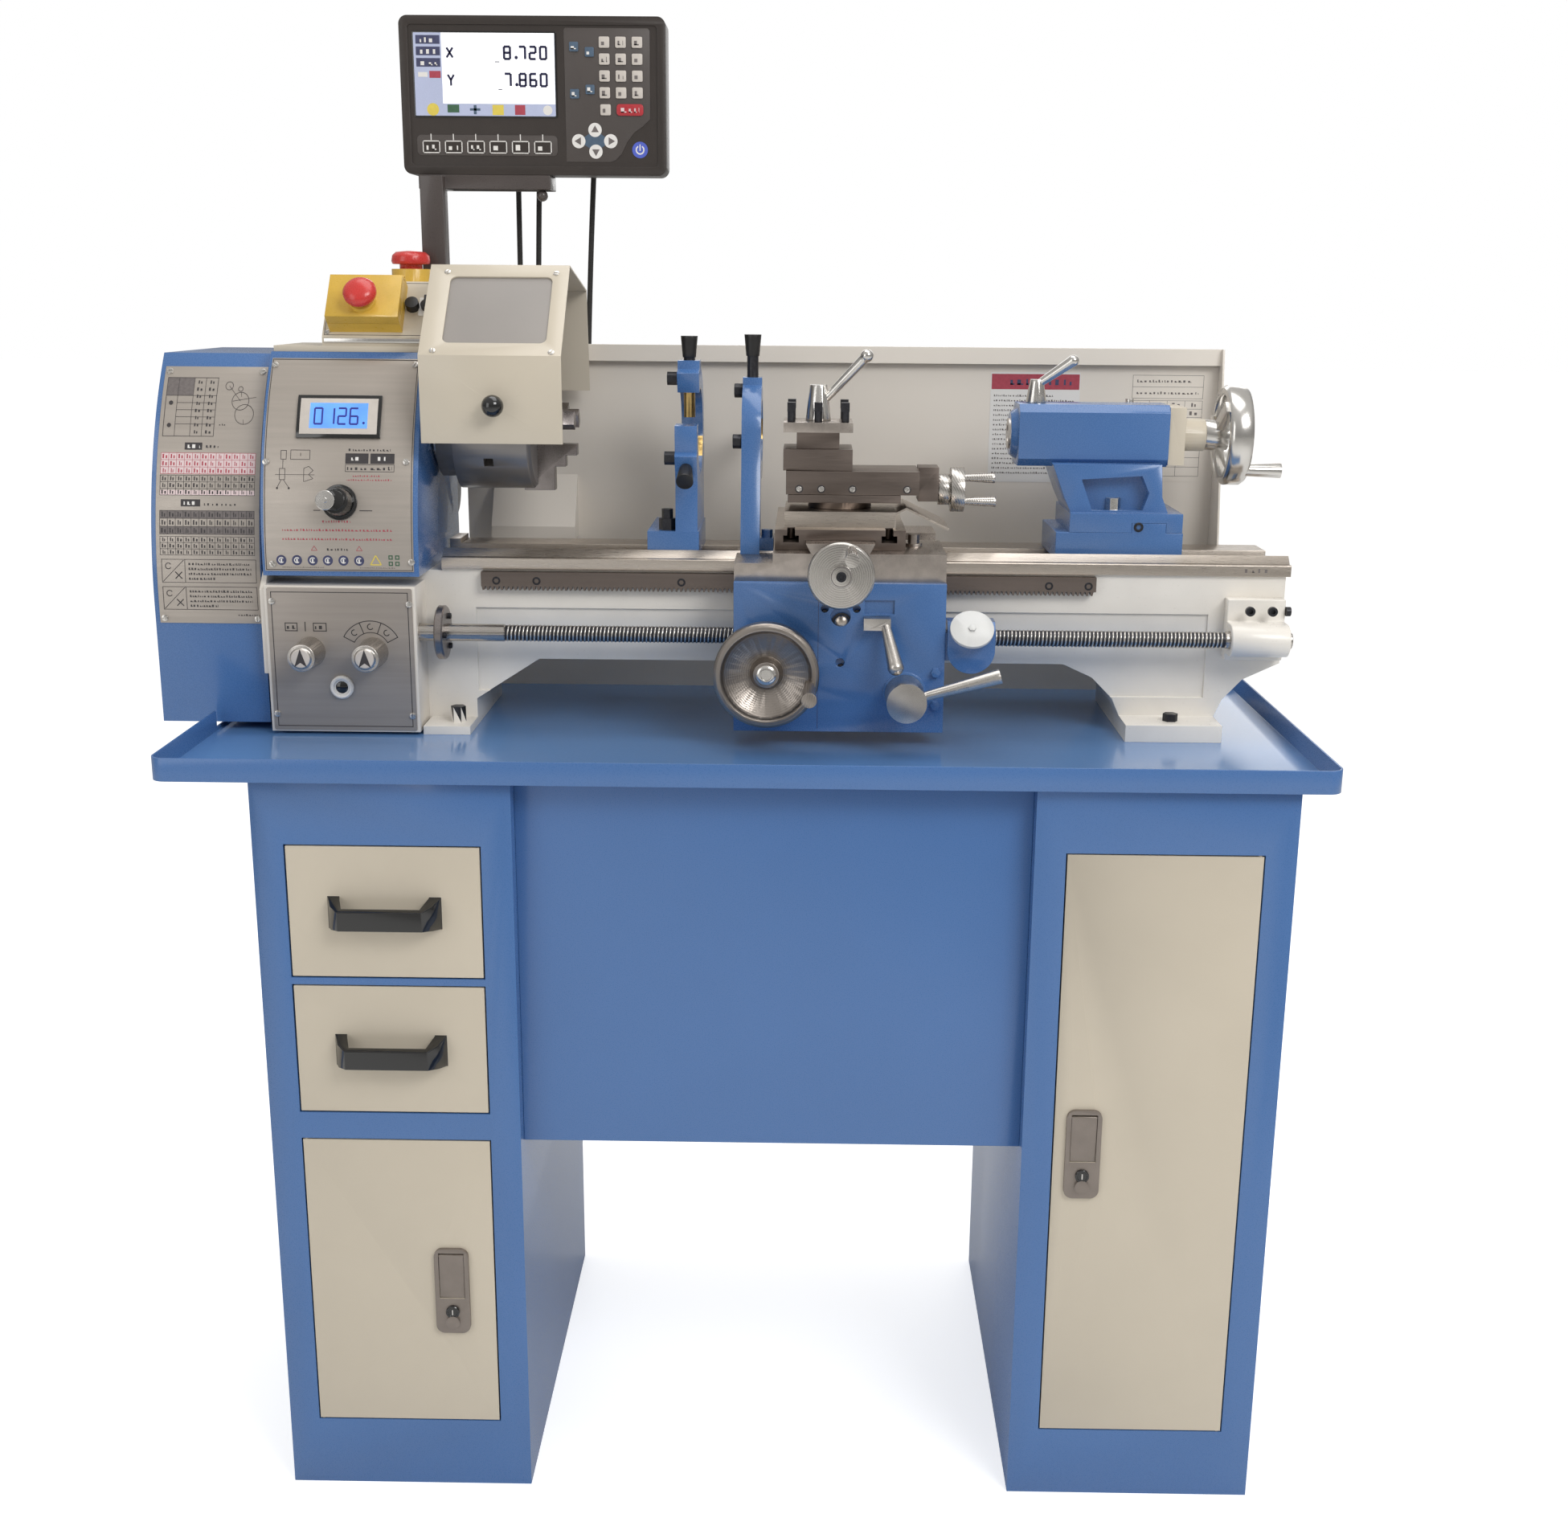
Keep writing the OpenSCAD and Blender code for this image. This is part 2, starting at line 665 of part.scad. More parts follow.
// Groove that clears the V ridge of the front way
module vee_groove(x0, x1, gap)
  ext_x(x0, x1) polygon([[vee_y - vee_h - gap - eps, way_z - eps + gap], [vee_y, way_z + vee_h + 2 * gap],
                         [vee_y + vee_h + gap + eps, way_z - eps + gap]]);
module bed_side() polygon([
  [bed_x0, tray_z], [leg_x1, tray_z], [leg_x1, arch_z - 43], [leg_x1 + 67, arch_z],
  [right_leg_x - 61, arch_z], [right_leg_x - 30, arch_z - 14], [right_leg_x - 8, arch_z - 36],
  [right_leg_x, arch_z - 54], [right_leg_x, tray_z], [right_leg_x + right_leg_w, tray_z],
  [right_leg_x + right_leg_w, arch_z - 54], [right_leg_x + right_leg_w + 8, arch_z - 36],
  [right_leg_x + right_leg_w + 28, arch_z - 14], [bed_x1, arch_z + 4], [bed_x1, way_z - way_t],
  [way_x0, way_z - way_t], [way_x0, pad_z], [bed_x0, pad_z]]);
module bed() color([0.8, 0.78, 0.73]) {
  in_y0 = face_y + bed_wall;
  in_y1 = way_y1 - bed_wall;
  difference() {
    ext_y(face_y, way_y1) bed_side();
    box(leg_x1 + bed_wall, right_leg_x - bed_wall, in_y0, in_y1, tray_z - eps, way_z);
    box(right_leg_x + right_leg_w + bed_wall, bed_x1 - bed_wall, in_y0, in_y1, tray_z - eps, way_z);
    box(right_leg_x + bed_wall, right_leg_x + right_leg_w - bed_wall, in_y0, in_y1, tray_z - eps, rib_top);
    box(bed_x0 + bed_wall, leg_x1 - bed_wall, in_y0, in_y1, tray_z - eps, pad_z - bed_wall);
    box(right_leg_x - bed_wall - eps, bed_x1 - bed_wall, in_y0, in_y1, rib_top, way_z);
    box(leg_x1 + 2, right_leg_x + right_leg_w - rib_t, face_y - eps, face_y + 3, arch_z - 34, way_z - 53);
  }
  for (i = [1:4]) {
    x = leg_x1 + i * (right_leg_x - leg_x1) / 5;
    box(x, x + rib_t, in_y0 - eps, in_y1 + eps, arch_z + 10, rib_top);
  }
  ext_x(way_x0, bed_x1 + way_lip) polygon([
    [way_y0, way_z - way_t], [way_y0, way_z - 1], [way_y0 + 1, way_z], [vee_y - vee_h, way_z],
    [vee_y, way_z + vee_h], [vee_y + vee_h, way_z], [way_y0 + way_front, way_z],
    [way_y0 + way_front, way_z - way_t]]);
  box(way_x0, bed_x1 + way_lip, way_y1 - way_rear, way_y1, way_z - way_t, way_z);
  box(way_x0 - way_t, way_x0, way_y1 - way_rear, way_y1, pad_z, way_z + 5);
  box(box_x1 + 2, leg_x1, face_y - foot_out, face_y, tray_z, tray_z + foot_h / 2);
  box(right_leg_x, right_leg_x + right_leg_w, face_y - foot_out, face_y, tray_z, tray_z + foot_h);
  for (x = [leg_x1 - 16, right_leg_x + right_leg_w / 2])
    hex_z(bolt_r + 3, tray_z + foot_h / 2, tray_z + foot_h + bolt_head, x, face_y - foot_out / 2);
}
module rack() color([0.45, 0.43, 0.42]) {
  n = floor((rack_x1 - rack_x0) / rack_pitch);
  y1 = face_y;
  z0 = rack_z1 - rack_h;
  ext_y(y1 - rack_t, y1) polygon(concat(
    [[rack_x1, rack_z1], [rack_x0, rack_z1], [rack_x0, z0 + tooth_h]],
    [for (i = [0:n - 1], k = [0:3])
      [rack_x0 + (i + [0.1, 0.3, 0.6, 0.8][k]) * rack_pitch, z0 + [tooth_h, 0, 0, tooth_h][k]]],
    [[rack_x1, z0 + tooth_h]]));
}
module leadscrew_bracket() color([0.8, 0.78, 0.73]) difference() {
  union() {
    box(bracket_x0, bracket_x0 + bracket_l, face_y - 16, face_y, screw_z - 24, screw_z + 40);
    box(bracket_x0, bracket_x0 + bracket_l, screw_y, face_y, screw_z - 17, screw_z + 17);
    cyl_x(17, bracket_x0, bracket_x0 + bracket_l, screw_y, screw_z);
  }
  cyl_x(leadscrew_r + fit, bracket_x0 - eps, bracket_x0 + bracket_l + eps, screw_y, screw_z);
}

// Headstock casting with its leaning front face
function face_lean(z) = asin((z - pad_z - 3) / head_curve);
function face_at(z) = head_y0 + head_curve * (1 - cos(face_lean(z)));
module on_face(x, z) translate([x, face_at(z), z]) rotate([-face_lean(z), 0, 0]) children();
module head_profile(in) {
  r = head_curve - in;
  intersection() {
    translate([head_y0 + in, pad_z + in]) square([head_y1 - head_y0 - 2 * in, head_h - 2 * in]);
    translate([head_y0 + head_curve, pad_z + 3]) circle(r, $fn = 240);
  }
}
module headstock() color([0.33, 0.47, 0.69]) {
  difference() {
    union() {
      difference() {
        ext_x(head_x0, head_x1) head_profile(0);
        ext_x(head_x0 + head_wall, head_x1 - head_wall) head_profile(head_wall);
      }
      cyl_x(spindle_r + 14, head_x0 + 1, head_x0 + 34, axis_y, axis_z);
      cyl_x(spindle_r + 16, head_x1 - 34, head_x1 - 1, axis_y, axis_z);
      on_face(speed_knob_x, speed_knob_z) cyl_y(knob_skirt, -1, 26, 0, 0);
    }
    cyl_x(spindle_r + fit, head_x0 - eps, head_x1 + eps, axis_y, axis_z);
    cyl_x(guard_pin_r + fit, head_x1 - head_wall - eps, head_x1 + eps, guard_pin_y, guard_pin_z);
    on_face(speed_knob_x, speed_knob_z) cyl_y(feed_shaft_r + fit, -2, 40, 0, 0);
  }
}
module spindle() color([0.4, 0.41, 0.43]) difference() {
  union() {
    cyl_x(spindle_r, spindle_x0, head_x1 + 1, axis_y, axis_z);
    cyl_x(nose_r, plate_x0 - nose_l, plate_x0, axis_y, axis_z);
    cyl_x(spindle_r, head_x1, plate_x0, axis_y, axis_z);
    cyl_x(pulley_r, pulley_x0, pulley_x0 + pulley_w, axis_y, axis_z);
  }
  cyl_x(bore_r, spindle_x0 - eps, plate_x0 + eps, axis_y, axis_z);
}
module jaw_slot(a, gap) {
  w = jaw_w + 2 * gap;
  translate([0, axis_y, axis_z]) rotate([a, 0, 0]) {
    translate([chuck_x1 - jaw_deep, -w / 2, 0]) cube([jaw_deep + eps, w, chuck_r + eps]);
  }
}
module chuck_body() color([0.3, 0.32, 0.37]) difference() {
  union() {
    cyl_x(backplate_r, plate_x0, chuck_x0, axis_y, axis_z);
    cyl_x(chuck_r, chuck_x0, chuck_x1 - 4, axis_y, axis_z);
    translate([chuck_x1 - 4, axis_y, axis_z]) rotate([0, 90, 0]) cylinder(r1 = chuck_r, r2 = chuck_r - 4, h = 4);
  }
  cyl_x(bore_r + 3, plate_x0 - eps, chuck_x1 + eps, axis_y, axis_z);
  for (a = [60, 180, 300]) jaw_slot(a, slide_gap);
  for (a = [0, 120, 240]) translate([0, axis_y, axis_z]) rotate([a, 0, 0])
    translate([chuck_x0 + chuck_l * 0.45, 0, chuck_r - 14]) rotate([0, 0, 45]) cylinder(r = 7, h = 20, $fn = 4);
}
module jaw(a) color([0.42, 0.4, 0.41]) translate([0, axis_y, axis_z]) rotate([a, 0, 0])
  translate([0, jaw_w / 2, 0]) rotate([90, 0, 0]) linear_extrude(jaw_w) {
    f = chuck_x1;
    b = chuck_x1 - jaw_deep + slide_gap;
    polygon([[b, jaw_in], [f + 42, jaw_in], [f + 42, jaw_in + 12], [f + 30, jaw_in + 12], [f + 30, jaw_in + 24],
             [f + 18, jaw_in + 24], [f + 18, jaw_out], [b, jaw_out]]);
  }
module chuck_jaw_1() jaw(180);
module chuck_jaw_2() jaw(60);
module chuck_jaw_3() jaw(300);

// Motor, its pulley and the belt
module motor() color([0.2, 0.2, 0.22]) difference() {
  union() {
    cyl_x(motor_r, motor_x0, motor_x0 + motor_l, motor_y, motor_z);
    box(motor_x0 + 24, motor_x0 + motor_l - 24, head_y1, motor_y, motor_z - 20, motor_z + 20);
    cyl_x(motor_r - 16, motor_x0 - 6, motor_x0, motor_y, motor_z);
    cyl_x(motor_r - 3, motor_x0 + motor_l, motor_x0 + motor_l + 4, motor_y, motor_z);
  }
  cyl_x(motor_shaft_r + fit, motor_x0 - 7, motor_x0 + 40, motor_y, motor_z);
}
module motor_pulley() color([0.5, 0.5, 0.52]) {
  cyl_x(motor_shaft_r, pulley_x0, motor_x0 + 39, motor_y, motor_z);
  cyl_x(motor_pulley_r, pulley_x0, pulley_x0 + pulley_w, motor_y, motor_z);
}
// Outline of the belt at a distance t outside both pulleys
function belt_arc(c, r, a0, a1, n) = [for (i = [0:n]) c + r * [cos(a0 + (a1 - a0) * i / n), sin(a0 + (a1 - a0) * i / n)]];
function belt_points(t) =
  let(a = [axis_y, axis_z], b = [motor_y, motor_z], d = b - a, th = atan2(d[1], d[0]),
      be = acos((pulley_r - motor_pulley_r) / norm(d)))
  concat(belt_arc(a, pulley_r + t, th + be, th + 360 - be, 40), belt_arc(b, motor_pulley_r + t, th - be, th + be, 20));
module drive_belt() color([0.07, 0.07, 0.07]) ext_x(pulley_x0 + 1, pulley_x0 + pulley_w - 1) difference() {
  polygon(belt_points(belt_gap + belt_t));
  polygon(belt_points(belt_gap));
}

// Feed gearbox with its change gears on a banjo plate
module gearbox_housing() color([0.83, 0.8, 0.72]) {
  difference() {
    box(head_x0, box_x1, box_y0, face_y, box_z0, box_z1);
    for (x = [feed_knob_x1, feed_knob_x2])
      cyl_y(feed_shaft_r + fit, box_y0 - eps, box_y0 + 30, x, feed_knob_z);
    cyl_x(leadscrew_r + fit, screw_x0 - slide_gap, box_x1 + eps, screw_y, screw_z);
  }
  difference() {
    ext_x(head_x0 - 6, head_x0) polygon([[box_y0 + 5, box_z0 + 60], [50, box_z0 + 60], [90, axis_z - 90],
                                         [90, axis_z - 56], [40, axis_z - 56], [box_y0 + 5, box_z1 - 5]]);
    cyl_x(spindle_r + 6, head_x0 - 7, head_x0 + 1, axis_y, axis_z);
  }
  for (g = gear_set) {
    cyl_x(7, gear_x - gear_w - 8, head_x0, g[0], tray_z + g[1]);
    cyl_x(g[2], gear_x - gear_w, gear_x, g[0], tray_z + g[1]);
  }
}
module feed_knob(x) {
  color([0.6, 0.6, 0.6]) {
    cyl_y(feed_shaft_r, box_y0 - 2, box_y0 + 29, x, feed_knob_z);
    cone_y(knob_r, knob_r + 1.5, box_y0 - knob_l, box_y0 - slide_gap, x, feed_knob_z);
  }
  color([0.1, 0.1, 0.1]) cone_y(knob_r - 5, knob_r - 2, box_y0 - knob_l - 3, box_y0 - knob_l + 1, x, feed_knob_z);
}
module feed_knob_left() feed_knob(feed_knob_x1);
module feed_knob_right() feed_knob(feed_knob_x2);
module speed_knob() on_face(speed_knob_x, speed_knob_z) {
  color([0.1, 0.1, 0.1]) {
    cyl_y(feed_shaft_r, -2, 38, 0, 0);
    cyl_y(knob_skirt, -4, -1 - slide_gap, 0, 0);
    cone_y(knob_skirt - 5, knob_skirt - 3, -22, -3, 0, 0);
  }
  color([0.7, 0.7, 0.7]) cyl_y(knob_skirt - 8, -23, -21, 0, 0);
}
module cover_profile(in) {
  translate([cover_y0 + in, cover_z0 + in]) square([cover_y1 - cover_y0 - 2 * in, cover_bend - cover_z0]);
  intersection() {
    translate([cover_y0 + in, cover_bend]) square([cover_y1 - cover_y0 - 2 * in, cover_z1 - cover_bend - in]);
    translate([cover_y0 + cover_curve, cover_bend]) circle(cover_curve - in, $fn = 240);
  }
}
module gear_cover() color([0.33, 0.47, 0.69]) {
  difference() {
    ext_x(cover_x0, cover_x1) cover_profile(0);
    ext_x(cover_x0 + sheet_t, cover_x1 + eps) cover_profile(sheet_t);
    cyl_x(spindle_r + 5, cover_x0 - eps, cover_x0 + sheet_t + eps, axis_y, axis_z);
  }
  for (p = [[head_y1 - 14, pad_z + 14], [axis_y - 71, axis_z - 35]])
    cyl_x(lug_r, cover_x0 + 1, head_x0, p[0], p[1]);
}

// Leadscrew
module leadscrew() color([0.45, 0.44, 0.43]) {
  cyl_x(leadscrew_r, screw_x0, bracket_x0 + bracket_l + 4, screw_y, screw_z);
  cyl_x(flange_r, screw_flange_x, screw_flange_x + screw_flange_t, screw_y, screw_z);
}

// Control box on the headstock; its front leans back
module on_panel() translate([0, panel_y0, head_top + panel_step]) rotate([panel_tilt, 0, 0]) children();
module control_box() {
  color([0.78, 0.73, 0.64]) difference() {
    union() {
      ext_x(panel_x0, panel_x0 + box_w) polygon([
        [panel_y0, head_top], [panel_y0, head_top + panel_step], [panel_y0 + panel_run, head_top + panel_h_top],
        [panel_y1, head_top + panel_h_top], [panel_y1, head_top]]);
      box(head_x0 + 2, panel_x0 + box_w, panel_y0 - 6, panel_y1, head_top, head_top + 6);
    }
    on_panel() cyl_z(4 + fit, -15, eps, rotary_x, 38);
    cyl_z(12 + fit, head_top + panel_h_top - 20, head_top + panel_h_top + eps, rear_stop_x, rear_stop_y);
  }
  color([0.85, 0.7, 0.1]) {
    on_panel() difference() {
      box(lid_x0, lid_x0 + lid_w, lid_y0, lid_y1, -eps, lid_z);
      box(lid_x0 + 3, lid_x0 + lid_w - 3, lid_y0 + 3, lid_y1 - 8, lid_z - 4, lid_z + eps);
    }
    on_panel() difference() {
      for (x = [lid_x0, lid_x0 + lid_w - lid_ear]) {
        cyl_x(2.5, x, x + lid_ear, lid_pin_y, lid_pin_z);
        box(x, x + lid_ear, lid_pin_y - 1, lid_y1, lid_z - eps, lid_pin_z);
      }
      cyl_x(1.2 + fit, lid_x0 - eps, lid_x0 + lid_w + eps, lid_pin_y, lid_pin_z);
    }
    difference() {
      cyl_z(rear_stop_r, head_top + panel_h_top - 1, head_top + panel_h_top + 13, rear_stop_x, rear_stop_y);
      cyl_z(12 + fit, head_top + panel_h_top - 20, head_top + panel_h_top + 14, rear_stop_x, rear_stop_y);
    }
  }
  color([0.1, 0.1, 0.1]) on_panel() {
    cyl_z(7, -1, 9, panel_x0 + 91, 38);
    box(lid_x0 + 12, lid_x0 + 30, 24, 44, lid_z - 5, lid_z + 1);
    box(lid_x0 + 45, lid_x0 + 63, 24, 44, lid_z - 5, lid_z + 1);
  }
}
module estop_lid() color([0.9, 0.75, 0.1]) on_panel() difference() {
  union() {
    box(lid_x0, lid_x0 + lid_w, lid_y0, lid_y1 - 5, lid_z + slide_gap, lid_z + lid_h);
    box(lid_x0 + lid_ear + 1, lid_x0 + lid_w - lid_ear - 1, lid_y1 - 6, lid_pin_y, lid_pin_z - 2, lid_pin_z + 2);
    cyl_x(2, lid_x0 + lid_ear + 1, lid_x0 + lid_w - lid_ear - 1, lid_pin_y, lid_pin_z);
    cyl_x(1.2, lid_x0 + 1, lid_x0 + lid_w - 1, lid_pin_y, lid_pin_z);
    cyl_z(mushroom_r - 3, lid_z + lid_h - 1, lid_z + lid_h + 5, lid_x0 + lid_w / 2, mushroom_y);
  }
  box(lid_x0 + 2, lid_x0 + lid_w - 2, lid_y0 + 2, lid_y1 - 7, lid_z - eps, lid_z + lid_h - 2);
  cyl_z(8 + fit, lid_z, lid_z + lid_h + 8, lid_x0 + lid_w / 2, mushroom_y);
}
module estop_button() color([0.75, 0.08, 0.08]) on_panel() {
  cyl_z(8, lid_z + lid_h - 4, lid_z + lid_h + 13, lid_x0 + lid_w / 2, mushroom_y);
  translate([lid_x0 + lid_w / 2, mushroom_y, lid_z + lid_h + 12])
    rotate_extrude() polygon([[0, 0], [mushroom_r, 0], [mushroom_r, 5], [mushroom_r - 3, 9], [mushroom_r - 8, 11.5],
                              [0, 12.5]]);
}
module rear_stop_button() color([0.75, 0.08, 0.08]) {
  z = head_top + panel_h_top;
  cyl_z(12, z - 14, z + 19, rear_stop_x, rear_stop_y);
  translate([rear_stop_x, rear_stop_y, z + 18])
    rotate_extrude() polygon([[0, 0], [rear_stop_r - 1, 0], [rear_stop_r, 3], [rear_stop_r - 1, 9],
                              [rear_stop_r - 5, 12.5], [0, 14]]);
}
module rotary_switch() color([0.12, 0.12, 0.13]) on_panel() {
  cyl_z(4, -14, 4, rotary_x, 38);
  difference() {
    cyl_z(6.4, 0.4, 13, rotary_x, 38);
    box(rotary_x + 1.5, rotary_x + 7, 31, 45, 6, 14);
    box(rotary_x - 7, rotary_x - 1.5, 31, 45, 6, 14);
  }
}

// Chuck guard: folded sheet with a clear window and a ball knob, hinged at the rear
function gp(i) = [axis_y + guard_pts[i][0], axis_z + guard_pts[i][1]];
function slope_of(i) = atan2(gp(i + 1)[1] - gp(i)[1], gp(i + 1)[0] - gp(i)[0]);
function slope_len(i) = norm(gp(i + 1) - gp(i));
module on_slope() translate([0, gp(1)[0], gp(1)[1]]) rotate([slope_of(1), 0, 0]) children();
module chuck_guard() {
  color([0.78, 0.73, 0.64]) {
    difference() {
      ext_x(guard_x0, guard_x1) {
        for (i = [0:3]) strip(gp(i), gp(i + 1), sheet_t);
        for (i = [1:3]) translate(gp(i)) circle(sheet_t / 2);
      }
      on_slope() translate([0, 0, -sheet_t]) linear_extrude(2 * sheet_t)
        rrect(guard_x0 + window_in + 6, guard_x1 - window_in, window_in, slope_len(1) - window_in, 7);
    }
    ext_x(guard_x0, guard_x0 + sheet_t) polygon([
      [axis_y - 125, axis_z + 60], gp(1), gp(2), gp(3), [axis_y + 110, axis_z + 60]]);
    cyl_x(guard_pin_r + 6, guard_x0 - 4, guard_x0 + 8, guard_pin_y, guard_pin_z);
    cyl_x(guard_pin_r, head_x1 - head_wall + 1, guard_x0, guard_pin_y, guard_pin_z);
  }
  color([0.05, 0.05, 0.05]) {
    x = (guard_x0 + guard_x1) / 2 + 4;
    cyl_y(4, gp(0)[0] - 12, gp(0)[0], x, axis_z + 32);
    translate([x, gp(0)[0] - 15, axis_z + 32]) sphere(11);
  }
}
module guard_window() color([0.75, 0.8, 0.82]) on_slope()
  translate([0, 0, -sheet_t / 2 - 2]) linear_extrude(2)
    rrect(guard_x0 + window_in - 3, guard_x1 - window_in + 9, 6, slope_len(1) - 6, 4);

module splash_guard() color([0.8, 0.77, 0.7]) {
  box(splash_x0, splash_x1, splash_y, splash_y + sheet_t, tray_z, splash_z1);
  box(splash_x0, splash_x1, splash_y - lip_d, splash_y + sheet_t, splash_z1 - sheet_t, splash_z1);
  box(splash_x0, splash_x1, splash_y - lip_d, splash_y - lip_d + sheet_t, splash_z1 - lip_h, splash_z1);
  box(splash_x0, splash_x1, splash_y, splash_y + 18, tray_z, tray_z + sheet_t);
  ext_x(splash_x1 - sheet_t, splash_x1) polygon([
    [splash_y + sheet_t, splash_z1], [splash_y - wing_top, splash_z1], [way_y1 + 8, way_z - 8],
    [way_y1 + 8, tray_z], [splash_y + sheet_t, tray_z]]);
  ext_x(head_x1 + 36, head_x1 + 131) polygon([
    [splash_y, way_z + 66], [splash_y - 34, way_z + 10], [splash_y - 34, way_z - 4], [splash_y, way_z - 4]]);
  box(min(cable_x) - 20, max(cable_x) + 20, splash_y, splash_y + 38, tray_z + 12, cable_box_z);
}

// Readout with its post, bracket plate and three cables
module dro_post() color([0.16, 0.14, 0.14]) {
  p = post_w / 2;
  t = head_plate_t;
  y1 = readout_y0 + readout_d;
  difference() {
    box(post_x - p, post_x + p, post_y - p, post_y + p, head_top, readout_z0 - t + eps / 2);
    box(post_x - p + 2, post_x + p - 2, post_y - p + 2, post_y + p - 2, head_top - eps, head_plate_z - 4);
  }
  difference() {
    box(head_plate_x0, head_plate_x1, readout_y0, y1, head_plate_z, readout_z0);
    box(post_x + p + 1, head_plate_x1 - t, readout_y0 + t, y1 - t, head_plate_z - eps, readout_z0 - t);
  }
  cyl_z(3, head_plate_z - 5, readout_z0 - t + eps / 2, bulb_x, readout_y0 + 8);
  translate([bulb_x, readout_y0 + 8, head_plate_z - 6]) sphere(6);
}
module dro_head() color([0.14, 0.12, 0.12]) {
  x1 = readout_x0 + readout_w;
  z1 = readout_z0 + readout_h;
  y1 = readout_y0 + readout_d;
  difference() {
    ext_y(readout_y0, y1) rrect(readout_x0, x1, readout_z0, z1, 9);
    ext_y(readout_y0 - eps, readout_y0 + 1.5) rrect(readout_x0 + 9, x1 - 9, readout_z0 + 9, z1 - 9, 4);
  }
  for (i = [0:2]) cyl_y(7, y1 - 1, splash_y, cable_x[i] + cable_lean[i], readout_z0 + 20);
}
function cable_path(z) = concat(
  [[splash_y, z], [splash_y + 4, z]],
  [for (a = [80:-20:20]) [splash_y + 4 + 18 * cos(a), z - 18 + 18 * sin(a)]],
  [[cable_y, z - 18]], [for (i = [1:16]) [cable_y, z - 18 - i * (z - 18 - cable_box_z) / 16]]);
module cable(x, lean) {
  p = cable_path(readout_z0 + 20);
  n = len(p);
  m = 8;
  r = cable_d / 2;
  function dir(i) = let (a = p[min(i + 1, n - 1)] - p[max(i - 1, 0)]) i == 0 ? [1, 0] : a / norm(a);
  function along(i) = x + lean * pow((p[i][1] - cable_box_z) / (p[0][1] - cable_box_z), 2);
  pts = [for (i = [0:n - 1], k = [0:m - 1])
    let (d = dir(i), a = k * 360 / m)
    [along(i) + r * cos(a), p[i][0] + r * sin(a) * d[1], p[i][1] - r * sin(a) * d[0]]];
  sides = [for (i = [0:n - 2], k = [0:m - 1])
    [i * m + k, (i + 1) * m + k, (i + 1) * m + (k + 1) % m, i * m + (k + 1) % m]];
  polyhedron(concat(pts), concat([[for (k = [0:m - 1]) k]], sides, [[for (k = [m - 1:-1:0]) (n - 1) * m + k]]));
}
module dro_cables() color([0.12, 0.12, 0.12]) for (i = [0:2]) cable(cable_x[i], cable_lean[i]);

// Carriage
module saddle() color([0.62, 0.6, 0.58]) {
  g = slide_gap;
  in_y0 = way_y0 + way_front;
  in_y1 = way_y1 - way_rear;
  difference() {
    union() {
      ext_x(sad_x0, sad_x1) polygon([
        [sad_y0, sad_z0], [way_y0 - g, sad_z0], [way_y0 - g, way_z + g], [way_y1 + g, way_z + g],
        [way_y1 + g, sad_z0 - 8], [sad_y1, sad_z0 - 8], [sad_y1, sad_wing], [sad_y0, sad_wing]]);
      box(sad_x0 + wing_w, sad_x1, sad_y0, sad_y1, sad_wing - eps, sad_top);
      ext_y(sad_y0, sad_y1) polygon([
        [saddle_x - dove_low, sad_top - eps], [saddle_x - dove_top, sad_top + dove_h],
        [saddle_x + dove_top, sad_top + dove_h], [saddle_x + dove_low, sad_top - eps]]);
      cyl_y(cross_boss_r, sad_y0 - cross_boss_l, sad_y0 + 1, saddle_x, cross_screw_z);
      cyl_z(9, sad_top - 1, sad_top + 3, sad_x1 - 30, way_y0 + 6);
      hex_z(6, sad_top + 2, sad_top + 12, sad_x1 - 30, way_y0 + 6);
    }
    vee_groove(sad_x0 - eps, sad_x1 + eps, g);
    for (x = [sad_x0 - eps, sad_x1 - 36]) box(x, x + 37, in_y0, in_y1, sad_z0, sad_top + eps);
    cyl_y(cross_screw_r + fit, sad_y0 - cross_boss_l - eps, sad_y0 + 56, saddle_x, cross_screw_z);
  }
}
module tee_slot(x) translate([x, cross_z1]) {
  translate([-4, -7]) square([8, 8]);
  translate([-8, -13]) square([16, 7]);
}
module cross_slide() color([0.6, 0.58, 0.56]) {
  g = slide_gap;
  x0 = saddle_x - cross_w / 2;
  difference() {
    ext_y(cross_y0, cross_y0 + cross_l) difference() {
      translate([x0, sad_top + g]) square([cross_w, cross_z1 - sad_top - g]);
      polygon([[saddle_x - dove_low - 3 * g, sad_top - eps], [saddle_x - dove_top - 3 * g, sad_top + dove_h + g],
               [saddle_x + dove_top + 3 * g, sad_top + dove_h + g], [saddle_x + dove_low + 3 * g, sad_top - eps]]);
      tee_slot(saddle_x - 50);
      tee_slot(saddle_x + 50);
    }
    cyl_z(6, cross_z1 - 4, cross_z1 + eps, saddle_x, cross_y0 + cross_l - 20);
  }
  box(saddle_x - clamp_plate / 2, saddle_x + clamp_plate / 2, tool_y - 49, tool_y + 49, cross_z1 - eps, clamp_z1);
  for (x = [saddle_x - 50, saddle_x + 50], y = [tool_y - 42, tool_y + 42])
    cyl_z(3.5, cross_z1 - 12, cross_z1 + 1, x, y);
  ext_y(tool_y - 42, tool_y + 46) {
    strip([saddle_x + clamp_plate / 2 - 1, clamp_z1 - 3], [saddle_x + 68, clamp_z1 + 3], sheet_t);
    strip([saddle_x + 68, clamp_z1 + 3], [saddle_x + 112, cross_z1 - 2], sheet_t);
    translate([saddle_x + 68, clamp_z1 + 3]) circle(sheet_t / 2);
  }
}
